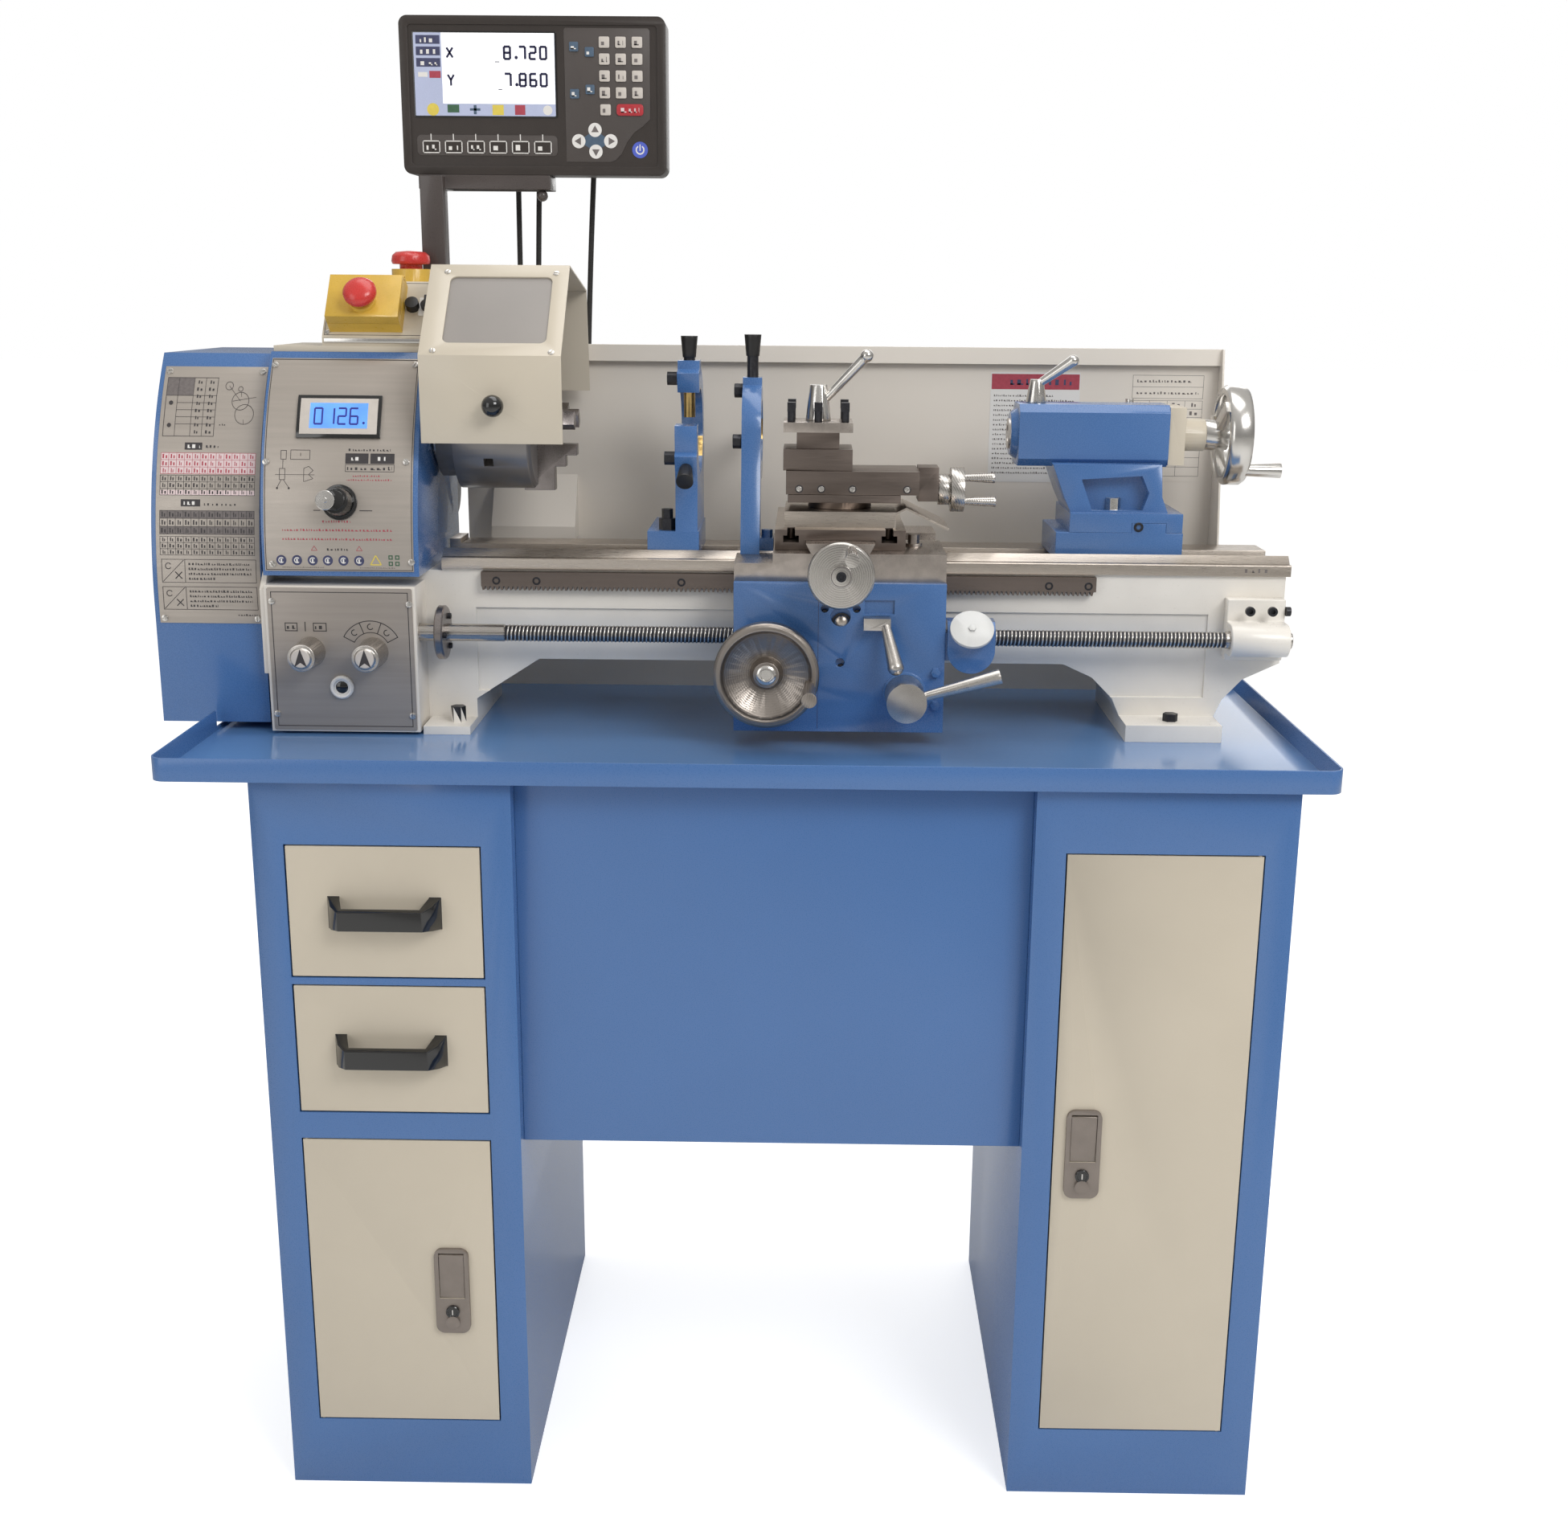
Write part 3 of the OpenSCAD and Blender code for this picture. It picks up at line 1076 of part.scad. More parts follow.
module swivel_base() color([0.58, 0.56, 0.54]) difference() {
  z = swivel_z1 + 8;
  union() {
    cyl_z(swivel_r, clamp_z1 + slide_gap, swivel_z1 + eps, saddle_x, tool_y);
    box(slide_x0 + 2, slide_x1 - 19, tool_y - compound_w / 2, tool_y + compound_w / 2, swivel_z1, z);
    ext_x(slide_x0 + 2, slide_x1 - 19) polygon([
      [tool_y - male_low, z - eps], [tool_y - male_top, z + male_h], [tool_y + male_top, z + male_h],
      [tool_y + male_low, z - eps]]);
  }
  box(slide_x0, slide_x1, tool_y - 6, tool_y + 6, compound_screw_z - 6, compound_screw_z + 6);
}
module compound_slide() color([0.42, 0.36, 0.34]) {
  g = slide_gap;
  z = swivel_z1 + 8;
  difference() {
    union() {
      ext_x(slide_x0, slide_x1) difference() {
        translate([tool_y - compound_w / 2, z + g]) square([compound_w, slide_z1 - z - g]);
        polygon([[tool_y - male_low - 3 * g, z - eps], [tool_y - male_top - 3 * g, z + male_h + g],
                 [tool_y + male_top + 3 * g, z + male_h + g], [tool_y + male_low + 3 * g, z - eps]]);
      }
      box(slide_x1, slide_x1 + compound_end, tool_y - compound_end_w / 2, tool_y + compound_end_w / 2,
          compound_screw_z - 11, slide_z1 + 3);
    }
    cyl_x(5 + fit, slide_x1 - eps, slide_x1 + compound_end + eps, tool_y, compound_screw_z);
  }
  cyl_z(stud_r, slide_z1 - 6, stud_top, post_x0 + toolpost_w / 2, tool_y);
}
module compound_handwheel() color([0.72, 0.72, 0.7]) {
  x = slide_x1 + compound_end + slide_gap;
  cyl_x(5, slide_x0 + 8, x + 20, tool_y, compound_screw_z);
  cyl_x(compound_wheel_r - 7, x, x + 12, tool_y, compound_screw_z);
  cyl_x(compound_wheel_r, x + 13, x + 27, tool_y, compound_screw_z);
  cyl_x(compound_wheel_r - 10, x + 11, x + 14, tool_y, compound_screw_z);
  for (s = [-1, 1]) translate([x + 26, tool_y, compound_screw_z]) rotate([s > 0 ? -35 : 145, 0, 0])
    translate([0, 0, compound_wheel_r - 9]) rotate([0, 90, 0]) cylinder(r1 = 3.5, r2 = 5.5, h = 34);
}
module toolpost() {
  c = post_x0 + toolpost_w / 2;
  h = toolpost_w / 2;
  q = post_core / 2;
  difference() {
    union() {
      color([0.36, 0.31, 0.3]) {
        box(c - h, c + h, tool_y - h, tool_y + h, post_z0, post_z0 + post_block);
        box(c - q, c + q, tool_y - q, tool_y + q, post_z0 + post_block - eps, post_plate_z + eps);
      }
      color([0.5, 0.46, 0.44]) box(c - h, c + h, tool_y - h, tool_y + h, post_plate_z, post_plate_z + post_plate_t);
    }
    cyl_z(stud_r + fit, post_z0 - eps, post_plate_z + post_plate_t + eps, c, tool_y);
  }
  clamp_bolts();
}
// Six bolts stand on the plate as solids of their own, a hair above it.
module clamp_bolts() color([0.15, 0.15, 0.15]) {
  z = post_plate_z + post_plate_t + bolt_seat;
  for (i = [-1, 0, 1], s = [-1, 1]) translate([post_x0 + toolpost_w / 2 + i * 27.5, tool_y + s * 29, z]) {
    cylinder(r = 4, h = 12);
    translate([0, 0, 11]) rotate([0, 0, 45]) cylinder(r = 6, h = 9, $fn = 4);
  }
}
module toolpost_lever() color([0.62, 0.6, 0.58]) {
  c = post_x0 + toolpost_w / 2;
  difference() {
    translate([c, tool_y, lever_z0]) cylinder(r1 = 13, r2 = 9, h = 36);
    cyl_z(stud_r + fit, lever_z0 - eps, stud_top + 1, c, tool_y);
  }
  rod([c + 8, tool_y - 2, lever_z0 + 22], [c + 49, tool_y - 14, lever_z0 + 66], 4, 5.4);
  translate([c + 49, tool_y - 14, lever_z0 + 66]) sphere(6.6);
}
module apron() color([0.33, 0.47, 0.69]) {
  dx = [0, -sin(dial_tilt), cos(dial_tilt)];
  difference() {
    union() {
      box(sad_x0, sad_x1, apron_y0, apron_back, apron_z0, sad_z0);
      box(sad_x0, sad_x1, apron_back - eps, apron_y1, apron_shelf, sad_z0);
      cyl_y(22, apron_y0 - 4, apron_y0 + 1, feed_x, feed_z);
      cyl_y(dial_r + 2, apron_y0 - 6, screw_y - leadscrew_r - 9, dial_x, screw_z - 4);
      box(dial_x - dial_r - 2, dial_x + dial_r + 2, apron_y0 - 6, screw_y - leadscrew_r - 9, screw_z - 4,
          screw_z + 24);
      box(sad_x1 - eps, dial_x, apron_y0 + 2, screw_y - leadscrew_r - 11, screw_z - 16, screw_z + 12);
    }
    cyl_y(8 + fit, apron_y0 - eps, apron_y0 + 35, apron_wheel_x, apron_wheel_z);
    cyl_y(7 + fit, apron_y0 - 5, apron_y0 + 21, feed_x, feed_z);
    cyl_y(6 + fit, apron_y0 - eps, apron_y0 + 21, nut_x, nut_z);
    cyl_y(10, apron_y0 - eps, apron_y0 + 6, saddle_x + 1, apron_z0 + 119);
    for (s = [-1, 1]) cyl_y(4, apron_y0 - eps, apron_y0 + 8, saddle_x + 1 + s * 16, apron_z0 + 127);
    cyl_y(4.5, apron_y0 - eps, apron_y0 + 6, saddle_x + 1, apron_z0 + 72);
    box(nut_x - 13, nut_x + 17, apron_y0 - eps, apron_y0 + 3, nut_z + 8, nut_z + 22);
    translate([dial_x, apron_y0 - 6, screw_z + 16]) rotate([dial_tilt, 0, 0]) {
      translate([-dial_r - 3, -60, 0]) cube([2 * dial_r + 6, 120, 60]);
      translate([0, 0, -25]) cylinder(r = 4 + fit, h = 30);
    }
  }
  for (z = [feed_z - 12, feed_z + 22]) hex_y(5, apron_y0 - 5, apron_y0, sad_x1 - 9, z);
}
module thread_dial() color([0.8, 0.82, 0.83])
  translate([dial_x, apron_y0 - 6, screw_z + 16]) rotate([dial_tilt, 0, 0]) {
    translate([0, 0, slide_gap]) cylinder(r = dial_r, h = 4);
    translate([0, 0, -24]) cylinder(r = 4, h = 25);
    translate([0, 0, 4]) cylinder(r = 4, h = 2.5, $fn = 6);
  }
module wheel_y(x, y, z, pts) translate([x, y, z]) rotate([90, 0, 0]) rotate_extrude($fn = 96) polygon(pts);
module apron_handwheel() color([0.7, 0.68, 0.64]) {
  r = apron_wheel_r;
  wheel_y(apron_wheel_x, apron_y0, apron_wheel_z, [
    [0, -34], [8, -34], [8, 1], [16, 1], [16, 12], [r - 9, 24], [r, 24], [r, 37], [r - 3, 40], [r - 7, 40],
    [r - 11, 33], [17, 22], [13, 33], [0, 33]]);
  rod([apron_wheel_x + r - 10, apron_y0 - 34, apron_wheel_z - 9], [apron_wheel_x + r - 10, apron_y0 - 108, apron_wheel_z - 9],
      5, 7.5);
}
module cross_handwheel() color([0.72, 0.71, 0.69]) {
  r = cross_wheel_r;
  y = sad_y0 - cross_boss_l - slide_gap;
  d = y - cross_wheel_y;
  wheel_y(saddle_x, y, cross_screw_z, [
    [0, -cross_boss_l - 55], [cross_screw_r, -cross_boss_l - 55], [cross_screw_r, 0], [18, 0], [20, 2], [20, 16],
    [12, 16], [12, d - 12], [r - 2, d - 12], [r, d - 10], [r, d - 2], [r - 2, d], [11, d], [11, d + 3], [0, d + 3]]);
  rod([saddle_x + 9, cross_wheel_y + 2, cross_screw_z + 25], [saddle_x + 9, cross_wheel_y - 66, cross_screw_z + 25],
      5, 7);
}
module halfnut_lever() color([0.75, 0.75, 0.74]) {
  cyl_y(6, apron_y0 - 2, apron_y0 + 20, nut_x, nut_z);
  box(nut_x - 14, nut_x + 13, apron_y0 - 16, apron_y0 - 1, nut_z - 6, nut_z + 6);
  rod([nut_x + 8, apron_y0 - 12, nut_z - 2], [nut_x + 18, apron_y0 - 32, nut_z - 40], 5, 8);
  translate([nut_x + 18, apron_y0 - 32, nut_z - 40]) sphere(8.2);
}
module feed_lever() color([0.6, 0.6, 0.58]) {
  cyl_y(7, apron_y0 - 10, apron_y0 + 20, feed_x, feed_z);
  cyl_y(20, apron_y0 - 50, apron_y0 - 4 - slide_gap, feed_x, feed_z);
  rod([feed_x + 14, apron_y0 - 38, feed_z + 4], [feed_x + 93, apron_y0 - 40, feed_z + 27], 4.5, 7.5);
}

// Rests with their adjusting fingers
module finger(a, r0, r1, x) translate([x, axis_y, axis_z]) rotate([a - 90, 0, 0]) {
  color([0.75, 0.58, 0.25]) translate([0, 0, r0]) cylinder(r = 6, h = r1 - r0 - 20);
  color([0.12, 0.12, 0.12]) translate([0, 0, r1 - 22]) cylinder(r1 = 7, r2 = 9, h = 22);
}
module steady_rest() {
  x0 = steady_x - steady_t / 2;
  x1 = steady_x + steady_t / 2;
  color([0.33, 0.47, 0.69]) difference() {
    union() {
      box(steady_base_x0, steady_base_x0 + steady_base_w, tail_y0 - 8, tail_y1 + 2, way_z + slide_gap,
          way_z + steady_base_h);
      ext_x(x0, x1) difference() {
        union() {
          translate([axis_y, axis_z]) circle(steady_r, $fn = 96);
          polygon([[tail_y0 - 8, way_z + 20], [tail_y0 - 4, axis_z - 50], [axis_y - steady_r, axis_z],
                   [axis_y + steady_r, axis_z], [tail_y1 - 4, axis_z - 50], [tail_y1 + 2, way_z + 20]]);
        }
        translate([axis_y, axis_z]) {
          circle(steady_in, $fn = 96);
          polygon([[-5, 12], 100 * [cos(114), sin(114)], [-100, 100], 100 * [cos(176), sin(176)]]);
        }
      }
      for (a = steady_angles) translate([steady_x, axis_y, axis_z]) rotate([a - 90, 0, 0])
        translate([-steady_t / 2, -14, steady_in]) cube([steady_t, 28, steady_r - steady_in + 7]);
      cyl_z(clamp_bolt_r, way_z - way_t - clamp_low, way_z + 2, steady_x, axis_y + 2);
      box(steady_x - 20, steady_x + 20, axis_y - clamp_half, axis_y + clamp_half, way_z - way_t - clamp_low,
          way_z - way_t - slide_gap);
    }
    vee_groove(steady_base_x0 - eps, steady_base_x0 + steady_base_w + eps, slide_gap);
  }
  for (a = steady_angles) finger(a, 14, steady_r + 32, steady_x);
  color([0.15, 0.15, 0.15]) {
    for (a = [90, 208]) translate([x0 - 12, axis_y, axis_z]) rotate([a - 90, 0, 0])
      translate([0, 0, steady_r - 12]) rotate([0, 90, 0]) cylinder(r = 7, h = 13, $fn = 6);
    hex_z(9, way_z + steady_base_h, way_z + steady_base_h + 12, steady_base_x0 + 20, tail_y0 + 8);
    hex_z(6, way_z + steady_base_h, way_z + steady_base_h + 22, steady_base_x0 + 20, tail_y0 + 8);
  }
}
module follow_rest() {
  x0 = rest_foot_x;
  x1 = rest_foot_x + rest_w;
  color([0.33, 0.47, 0.69]) difference() {
    union() {
      ext_x(x0, x1) difference() {
        union() {
          translate([axis_y, axis_z]) circle(follow_r, $fn = 96);
          polygon([[axis_y - 77, sad_wing], [axis_y - 77, sad_wing + 24], [axis_y - 56, axis_z - 40],
                   [axis_y - follow_r, axis_z], [axis_y, axis_z - 20], [axis_y - 26, axis_z - 60],
                   [axis_y - 30, sad_wing]]);
          for (a = [0, 90]) translate([axis_y, axis_z]) rotate(a) translate([follow_in, -13])
            square([follow_r - follow_in + 6, 26]);
        }
        translate([axis_y, axis_z]) circle(follow_in, $fn = 96);
      }
      box(x0, x1 + 14, axis_y - 60, axis_y - 30, sad_wing, sad_wing + 14);
    }
    vee_groove(x0 - eps, x1 + 14 + eps, slide_gap);
  }
  for (a = [0, 90]) finger(a, 12, follow_r + 50, (x0 + x1) / 2);
  color([0.15, 0.15, 0.15]) hex_z(6, sad_wing + 13, sad_wing + 22, x1 + 7, axis_y - 45);
}

// Tailstock
module tailstock_base() color([0.33, 0.47, 0.69]) {
  box(tail_x0, tail_x1, tail_y0, tail_y1, way_z + slide_gap, tail_split);
  box(tail_x1 - 54, tail_x1 - 18, tail_y0, tail_y1, tail_split - eps, tail_split + 10);
  cyl_z(clamp_bolt_r, way_z - way_t - clamp_low, way_z + 2, (tail_x0 + tail_x1) / 2, axis_y + 2);
  box(tail_x0 + 30, tail_x1 - 30, axis_y - clamp_half, axis_y + clamp_half, way_z - way_t - clamp_low,
      way_z - way_t - slide_gap);
}
module tailstock_body() {
  b = barrel_w / 2;
  c = barrel_cut;
  color([0.33, 0.47, 0.69]) difference() {
    union() {
      difference() {
        box(tail_x0 + 14, tail_x1 - 1, tail_y0, tail_y1, tail_split, tail_split + tail_foot_h);
        box(tail_x1 - 54 - fit, tail_x1 - 18 + fit, tail_y0 - eps, tail_y1 + eps, tail_split - eps, tail_split + 10);
      }
      ext_y(tail_y0 + 10, tail_y1 - 12) polygon([
        [tail_x0 - 5, axis_z - b + 4], [tail_x0 + 8, tail_split + tail_foot_h + 16],
        [tail_x0 + 16, tail_split + tail_foot_h - 1], [tail_x1 - 15, tail_split + tail_foot_h - 1],
        [tail_x1 - 22, tail_split + tail_foot_h + 16], [barrel_x1 - 8, axis_z - b + 4]]);
      ext_x(barrel_x, barrel_x1) polygon([
        [axis_y - b, axis_z - b + c], [axis_y - b, axis_z + b - c], [axis_y - b + c, axis_z + b],
        [axis_y + b - c, axis_z + b], [axis_y + b, axis_z + b - c], [axis_y + b, axis_z - b + c],
        [axis_y + b - c, axis_z - b], [axis_y - b + c, axis_z - b]]);
      translate([barrel_x - 7, axis_y, axis_z]) rotate([0, 90, 0]) cylinder(r1 = b - 10, r2 = b - 4, h = 8);
    }
    cyl_x(quill_r + fit, barrel_x - 8, barrel_x1 - 1, axis_y, axis_z);
    cyl_z(lock_stud_r + fit, axis_z + quill_r + 4, axis_z + b + eps, lock_x, axis_y);
    cyl_y(6 + fit, tail_y1 - 44, tail_y1 - 11, tail_clamp_x, tail_clamp_z);
    ext_y(tail_y0, tail_y0 + 26) polygon([
      [tail_x0 + 26, tail_split + tail_foot_h + 34], [tail_x0 + 38, tail_split + tail_foot_h + 2],
      [tail_x1 - 42, tail_split + tail_foot_h + 2], [tail_x1 - 36, tail_split + tail_foot_h + 20],
      [tail_x1 - 44, tail_split + tail_foot_h + 38]]);
  }
  color([0.8, 0.78, 0.73]) difference() {
    union() {
      box(barrel_x1, barrel_x1 + cap_l, axis_y - b + 2, axis_y + b - 2, axis_z - b + 2, axis_z + b - 2);
      cyl_x(cap_r, barrel_x1 + cap_l - 1, cap_x1, axis_y, axis_z);
    }
    cyl_x(8 + fit, barrel_x1 - 2, cap_x1 + eps, axis_y, axis_z);
  }
  color([0.7, 0.7, 0.7]) hex_z(8, tail_split + tail_foot_h + 1, tail_split + tail_foot_h + 14, tail_x0 + 62, tail_y0 + 24);
}
module quill() color([0.7, 0.7, 0.7]) difference() {
  cyl_x(quill_r, quill_x0, quill_x0 + quill_l, axis_y, axis_z);
  cyl_x(quill_bore, quill_x0 - eps, quill_x0 + quill_bore_l, axis_y, axis_z);
}
module tailstock_handwheel() color([0.72, 0.72, 0.7]) {
  r = tail_wheel_r;
  x = tail_wheel_x;
  cyl_x(8, barrel_x1 + 1, x + 1, axis_y, axis_z);
  cyl_x(16, x, x + 24, axis_y, axis_z);
  translate([x + 18, axis_y, axis_z]) rotate([0, 90, 0]) rotate_extrude($fn = 96)
    polygon([[r - 11, 4], [r - 9, 0], [r - 3, 0], [r, 4], [r, 20], [r - 3, 24], [r - 8, 24], [r - 11, 20]]);
  for (a = [45, 165, 285]) translate([x + 9, axis_y, axis_z]) rotate([a, 0, 0]) translate([0, -6.5, 8])
    rotate([0, 9, 0]) cube([9, 13, r - 15]);
  rod([x + 36, axis_y - 30, axis_z - 34], [x + 76, axis_y - 30, axis_z - 34], 6, 8);
}
module quill_lock_lever() color([0.65, 0.65, 0.64]) {
  z = axis_z + barrel_w / 2 + slide_gap;
  cyl_z(lock_stud_r, axis_z + quill_r + 5, z + 1, lock_x, axis_y);
  translate([lock_x, axis_y, z]) cylinder(r1 = 11, r2 = 7, h = 24);
  rod([lock_x, axis_y, z + 18], [lock_x + 35, axis_y - 17, z + 44], 4, 6);
  translate([lock_x + 35, axis_y - 17, z + 44]) sphere(6);
}
module tailstock_clamp_lever() color([0.65, 0.65, 0.64]) {
  y = tail_y1 - 12 + slide_gap;
  cyl_y(6, tail_y1 - 43, y + 1, tail_clamp_x, tail_clamp_z);
  cyl_y(11, y, y + 12, tail_clamp_x, tail_clamp_z);
  rod([tail_clamp_x, y + 6, tail_clamp_z + 6], [tail_clamp_x, y + 6, axis_z + 34], 4, 4.5);
}

left_cabinet();
right_cabinet();
centre_panel();
chip_tray();
bed();
rack();
leadscrew_bracket();
headstock();
gearbox_housing();
gear_cover();
motor();
drive_belt();
splash_guard();
control_box();
dro_post();
dro_cables();
drawer_1();
drawer_2();
left_door();
left_latch();
right_door();
right_latch();
spindle();
chuck_body();
chuck_jaw_1();
chuck_jaw_2();
chuck_jaw_3();
motor_pulley();
speed_knob();
feed_knob_left();
feed_knob_right();
estop_lid();
estop_button();
rear_stop_button();
rotary_switch();
chuck_guard();
guard_window();
leadscrew();
saddle();
apron();
follow_rest();
apron_handwheel();
cross_slide();
cross_handwheel();
swivel_base();
compound_slide();
compound_handwheel();
toolpost();
toolpost_lever();
halfnut_lever();
feed_lever();
thread_dial();
tailstock_base();
tailstock_body();
quill();
tailstock_handwheel();
quill_lock_lever();
tailstock_clamp_lever();
steady_rest();
dro_head();
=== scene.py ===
"""Looks of a bench lathe on its cabinet stand: enamel, ground and turned steel, printed plates, the readout,
dials, screws and the leadscrew's thread. Sizes in this file are millimetres, in the lathe's own frame."""

import math
import random

import bmesh
import bpy
from mathutils import Matrix, Vector


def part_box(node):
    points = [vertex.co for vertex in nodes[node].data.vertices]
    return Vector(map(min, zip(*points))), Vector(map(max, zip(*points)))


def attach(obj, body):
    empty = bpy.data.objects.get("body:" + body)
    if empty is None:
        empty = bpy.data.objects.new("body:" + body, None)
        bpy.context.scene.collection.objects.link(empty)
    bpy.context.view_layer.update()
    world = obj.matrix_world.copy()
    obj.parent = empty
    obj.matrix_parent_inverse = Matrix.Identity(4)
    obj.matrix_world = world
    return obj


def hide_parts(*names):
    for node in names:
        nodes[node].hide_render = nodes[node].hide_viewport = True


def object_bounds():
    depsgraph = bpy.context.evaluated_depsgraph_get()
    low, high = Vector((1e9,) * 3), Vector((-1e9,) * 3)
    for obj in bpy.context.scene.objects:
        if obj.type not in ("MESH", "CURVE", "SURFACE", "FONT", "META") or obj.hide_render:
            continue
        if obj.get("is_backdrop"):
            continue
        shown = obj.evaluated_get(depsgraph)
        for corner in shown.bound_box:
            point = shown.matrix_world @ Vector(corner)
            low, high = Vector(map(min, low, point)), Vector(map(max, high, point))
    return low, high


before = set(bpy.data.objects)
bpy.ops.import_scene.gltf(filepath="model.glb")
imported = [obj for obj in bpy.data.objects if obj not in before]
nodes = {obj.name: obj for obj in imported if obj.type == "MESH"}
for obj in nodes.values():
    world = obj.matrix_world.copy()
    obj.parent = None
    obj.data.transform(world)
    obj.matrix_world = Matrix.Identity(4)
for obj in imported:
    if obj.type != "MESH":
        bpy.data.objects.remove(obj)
cad_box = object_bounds()
MM = 0.001


def low(node):
    """A node's lowest corner."""
    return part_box(node)[0] / MM


def high(node):
    """A node's highest corner."""
    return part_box(node)[1] / MM


def middle(node):
    """The middle of a node's box."""
    return (low(node) + high(node)) / 2


AXIS_Y, AXIS_Z = middle("chuck_body")[1], middle("chuck_body")[2]
TRAY_FLOOR = low("bed")[2]
WAY_TOP = AXIS_Z - 127
HEAD_LEFT, HEAD_RIGHT = low("headstock")[0], high("headstock")[0]
HEAD_WIDE = HEAD_RIGHT - HEAD_LEFT
SCREW_Y, SCREW_Z = middle("leadscrew")[1], middle("leadscrew")[2]
CABINET_FRONT = low("left_cabinet")[1]


def placed(name, data):
    """A new object in the scene."""
    made = bpy.data.objects.new(name, data)
    bpy.context.scene.collection.objects.link(made)
    return made


def link(tree, a, output, b, socket):
    """Joins an output of one node of a tree to a socket of another."""
    tree.links.new(a.outputs[output], b.inputs[socket])


# ---------------------------------------------------------------- camera, light and floor
def view_camera(place, yaw, pitch, roll, focal):
    """Camera turned left by yaw, down by pitch and leaning by roll, all in radians."""
    forward = Vector((-math.sin(yaw) * math.cos(pitch), math.cos(yaw) * math.cos(pitch), -math.sin(pitch)))
    right = Vector((math.cos(yaw), math.sin(yaw), 0))
    up = right.cross(forward)
    across = right * math.cos(roll) + up * math.sin(roll)
    lens = bpy.data.cameras.new("camera")
    lens.lens = focal
    lens.clip_end = 60
    camera = placed("camera", lens)
    turn = Matrix((across, across.cross(forward), -forward)).transposed()
    camera.matrix_world = Matrix.Translation(place) @ turn.to_4x4()
    bpy.context.scene.camera = camera


def soft_light(name, place, aim, size, power):
    """A rectangular lamp that looks from its place at a point."""
    lamp = bpy.data.lights.new(name, "AREA")
    lamp.shape = "RECTANGLE"
    lamp.size, lamp.size_y = size
    lamp.energy = power
    holder = placed(name, lamp)
    holder.location = place
    holder.rotation_euler = (Vector(aim) - Vector(place)).to_track_quat("-Z", "Y").to_euler()


def light_world(tree):
    """A room that is brighter above than around, in front of a plain white backdrop."""
    room = tree.nodes["Background"]
    room.inputs["Strength"].default_value = 0.5
    way = tree.nodes.new("ShaderNodeTexCoord")
    apart = tree.nodes.new("ShaderNodeSeparateXYZ")
    link(tree, way, "Generated", apart, "Vector")
    rise = tree.nodes.new("ShaderNodeMapRange")
    rise.inputs["From Min"].default_value = -0.1
    rise.inputs["From Max"].default_value = 0.75
    rise.inputs["To Min"].default_value = 0.45
    rise.inputs["To Max"].default_value = 1.25
    link(tree, apart, "Z", rise, "Value")
    tint = tree.nodes.new("ShaderNodeMix")
    tint.data_type = "RGBA"
    tint.clamp_factor = False
    tint.inputs["A"].default_value = (0, 0, 0, 1)
    tint.inputs["B"].default_value = (1.0, 0.985, 0.96, 1)
    link(tree, rise, "Result", tint, "Factor")
    link(tree, tint, "Result", room, "Color")
    backdrop = tree.nodes.new("ShaderNodeBackground")
    backdrop.inputs["Color"].default_value = (1, 1, 1, 1)
    seen = tree.nodes.new("ShaderNodeLightPath")
    choice = tree.nodes.new("ShaderNodeMixShader")
    link(tree, seen, "Is Camera Ray", choice, "Fac")
    link(tree, room, "Background", choice, 1)
    link(tree, backdrop, "Background", choice, 2)
    link(tree, choice, "Shader", tree.nodes["World Output"], "Surface")


def bright_floor(skin):
    """The floor shines a little by itself, so that only its contact shadow shows."""
    tree = skin.node_tree
    seen = tree.nodes.new("ShaderNodeLightPath")
    share = tree.nodes.new("ShaderNodeMath")
    share.operation = "MULTIPLY"
    share.inputs[1].default_value = 0.55
    link(tree, seen, "Is Camera Ray", share, 0)
    shader = tree.nodes["Principled BSDF"]
    shader.inputs["Emission Color"].default_value = (1, 1, 1, 1)
    link(tree, share, "Value", shader, "Emission Strength")


def studio():
    """Camera, four soft lights, the room and the floor, in metres."""
    view_camera((0.0299, -1.8981, 1.2176), 0.0120, 0.2540, 0.0081, 41.764)
    soft_light("key", (1.7, -2.3, 2.9), (0, 0, 0.9), (1.6, 1.2), 48)
    soft_light("fill", (-2.4, -2.4, 1.7), (0.1, 0, 0.9), (1.5, 2.2), 16)
    soft_light("top", (0.1, 0.1, 3.0), (0, 0, 0.9), (2.2, 1.2), 18)
    soft_light("back", (0.3, 2.6, 2.0), (0, 0, 1.0), (2.6, 1.2), 14)
    world = bpy.data.worlds.new("studio")
    bpy.context.scene.world = world
    world.use_nodes = True
    light_world(world.node_tree)
    bpy.context.scene.view_settings.view_transform = "Standard"
    floor_mesh = bpy.data.meshes.new("floor")
    half = 30
    corners = [(-half, -half, 0), (half, -half, 0), (half, half, 0), (-half, half, 0)]
    floor_mesh.from_pydata(corners, [], [(0, 1, 2, 3)])
    floor = placed("floor", floor_mesh)
    floor.data.materials.append(FINISH["floor"])
    bright_floor(FINISH["floor"])
    floor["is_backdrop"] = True


# ---------------------------------------------------------------- finishes
def noise(tree, source, size, stretch, detail=3.0):
    """Noise whose grains are size mm across, stretched by the three factors."""
    place = tree.nodes.new("ShaderNodeMapping")
    place.vector_type = "TEXTURE"
    place.inputs["Scale"].default_value = [size * MM * s for s in stretch]
    link(tree, source, "Object", place, "Vector")
    grain = tree.nodes.new("ShaderNodeTexNoise")
    grain.inputs["Scale"].default_value = 1.0
    grain.inputs["Detail"].default_value = detail
    link(tree, place, "Vector", grain, "Vector")
    return grain


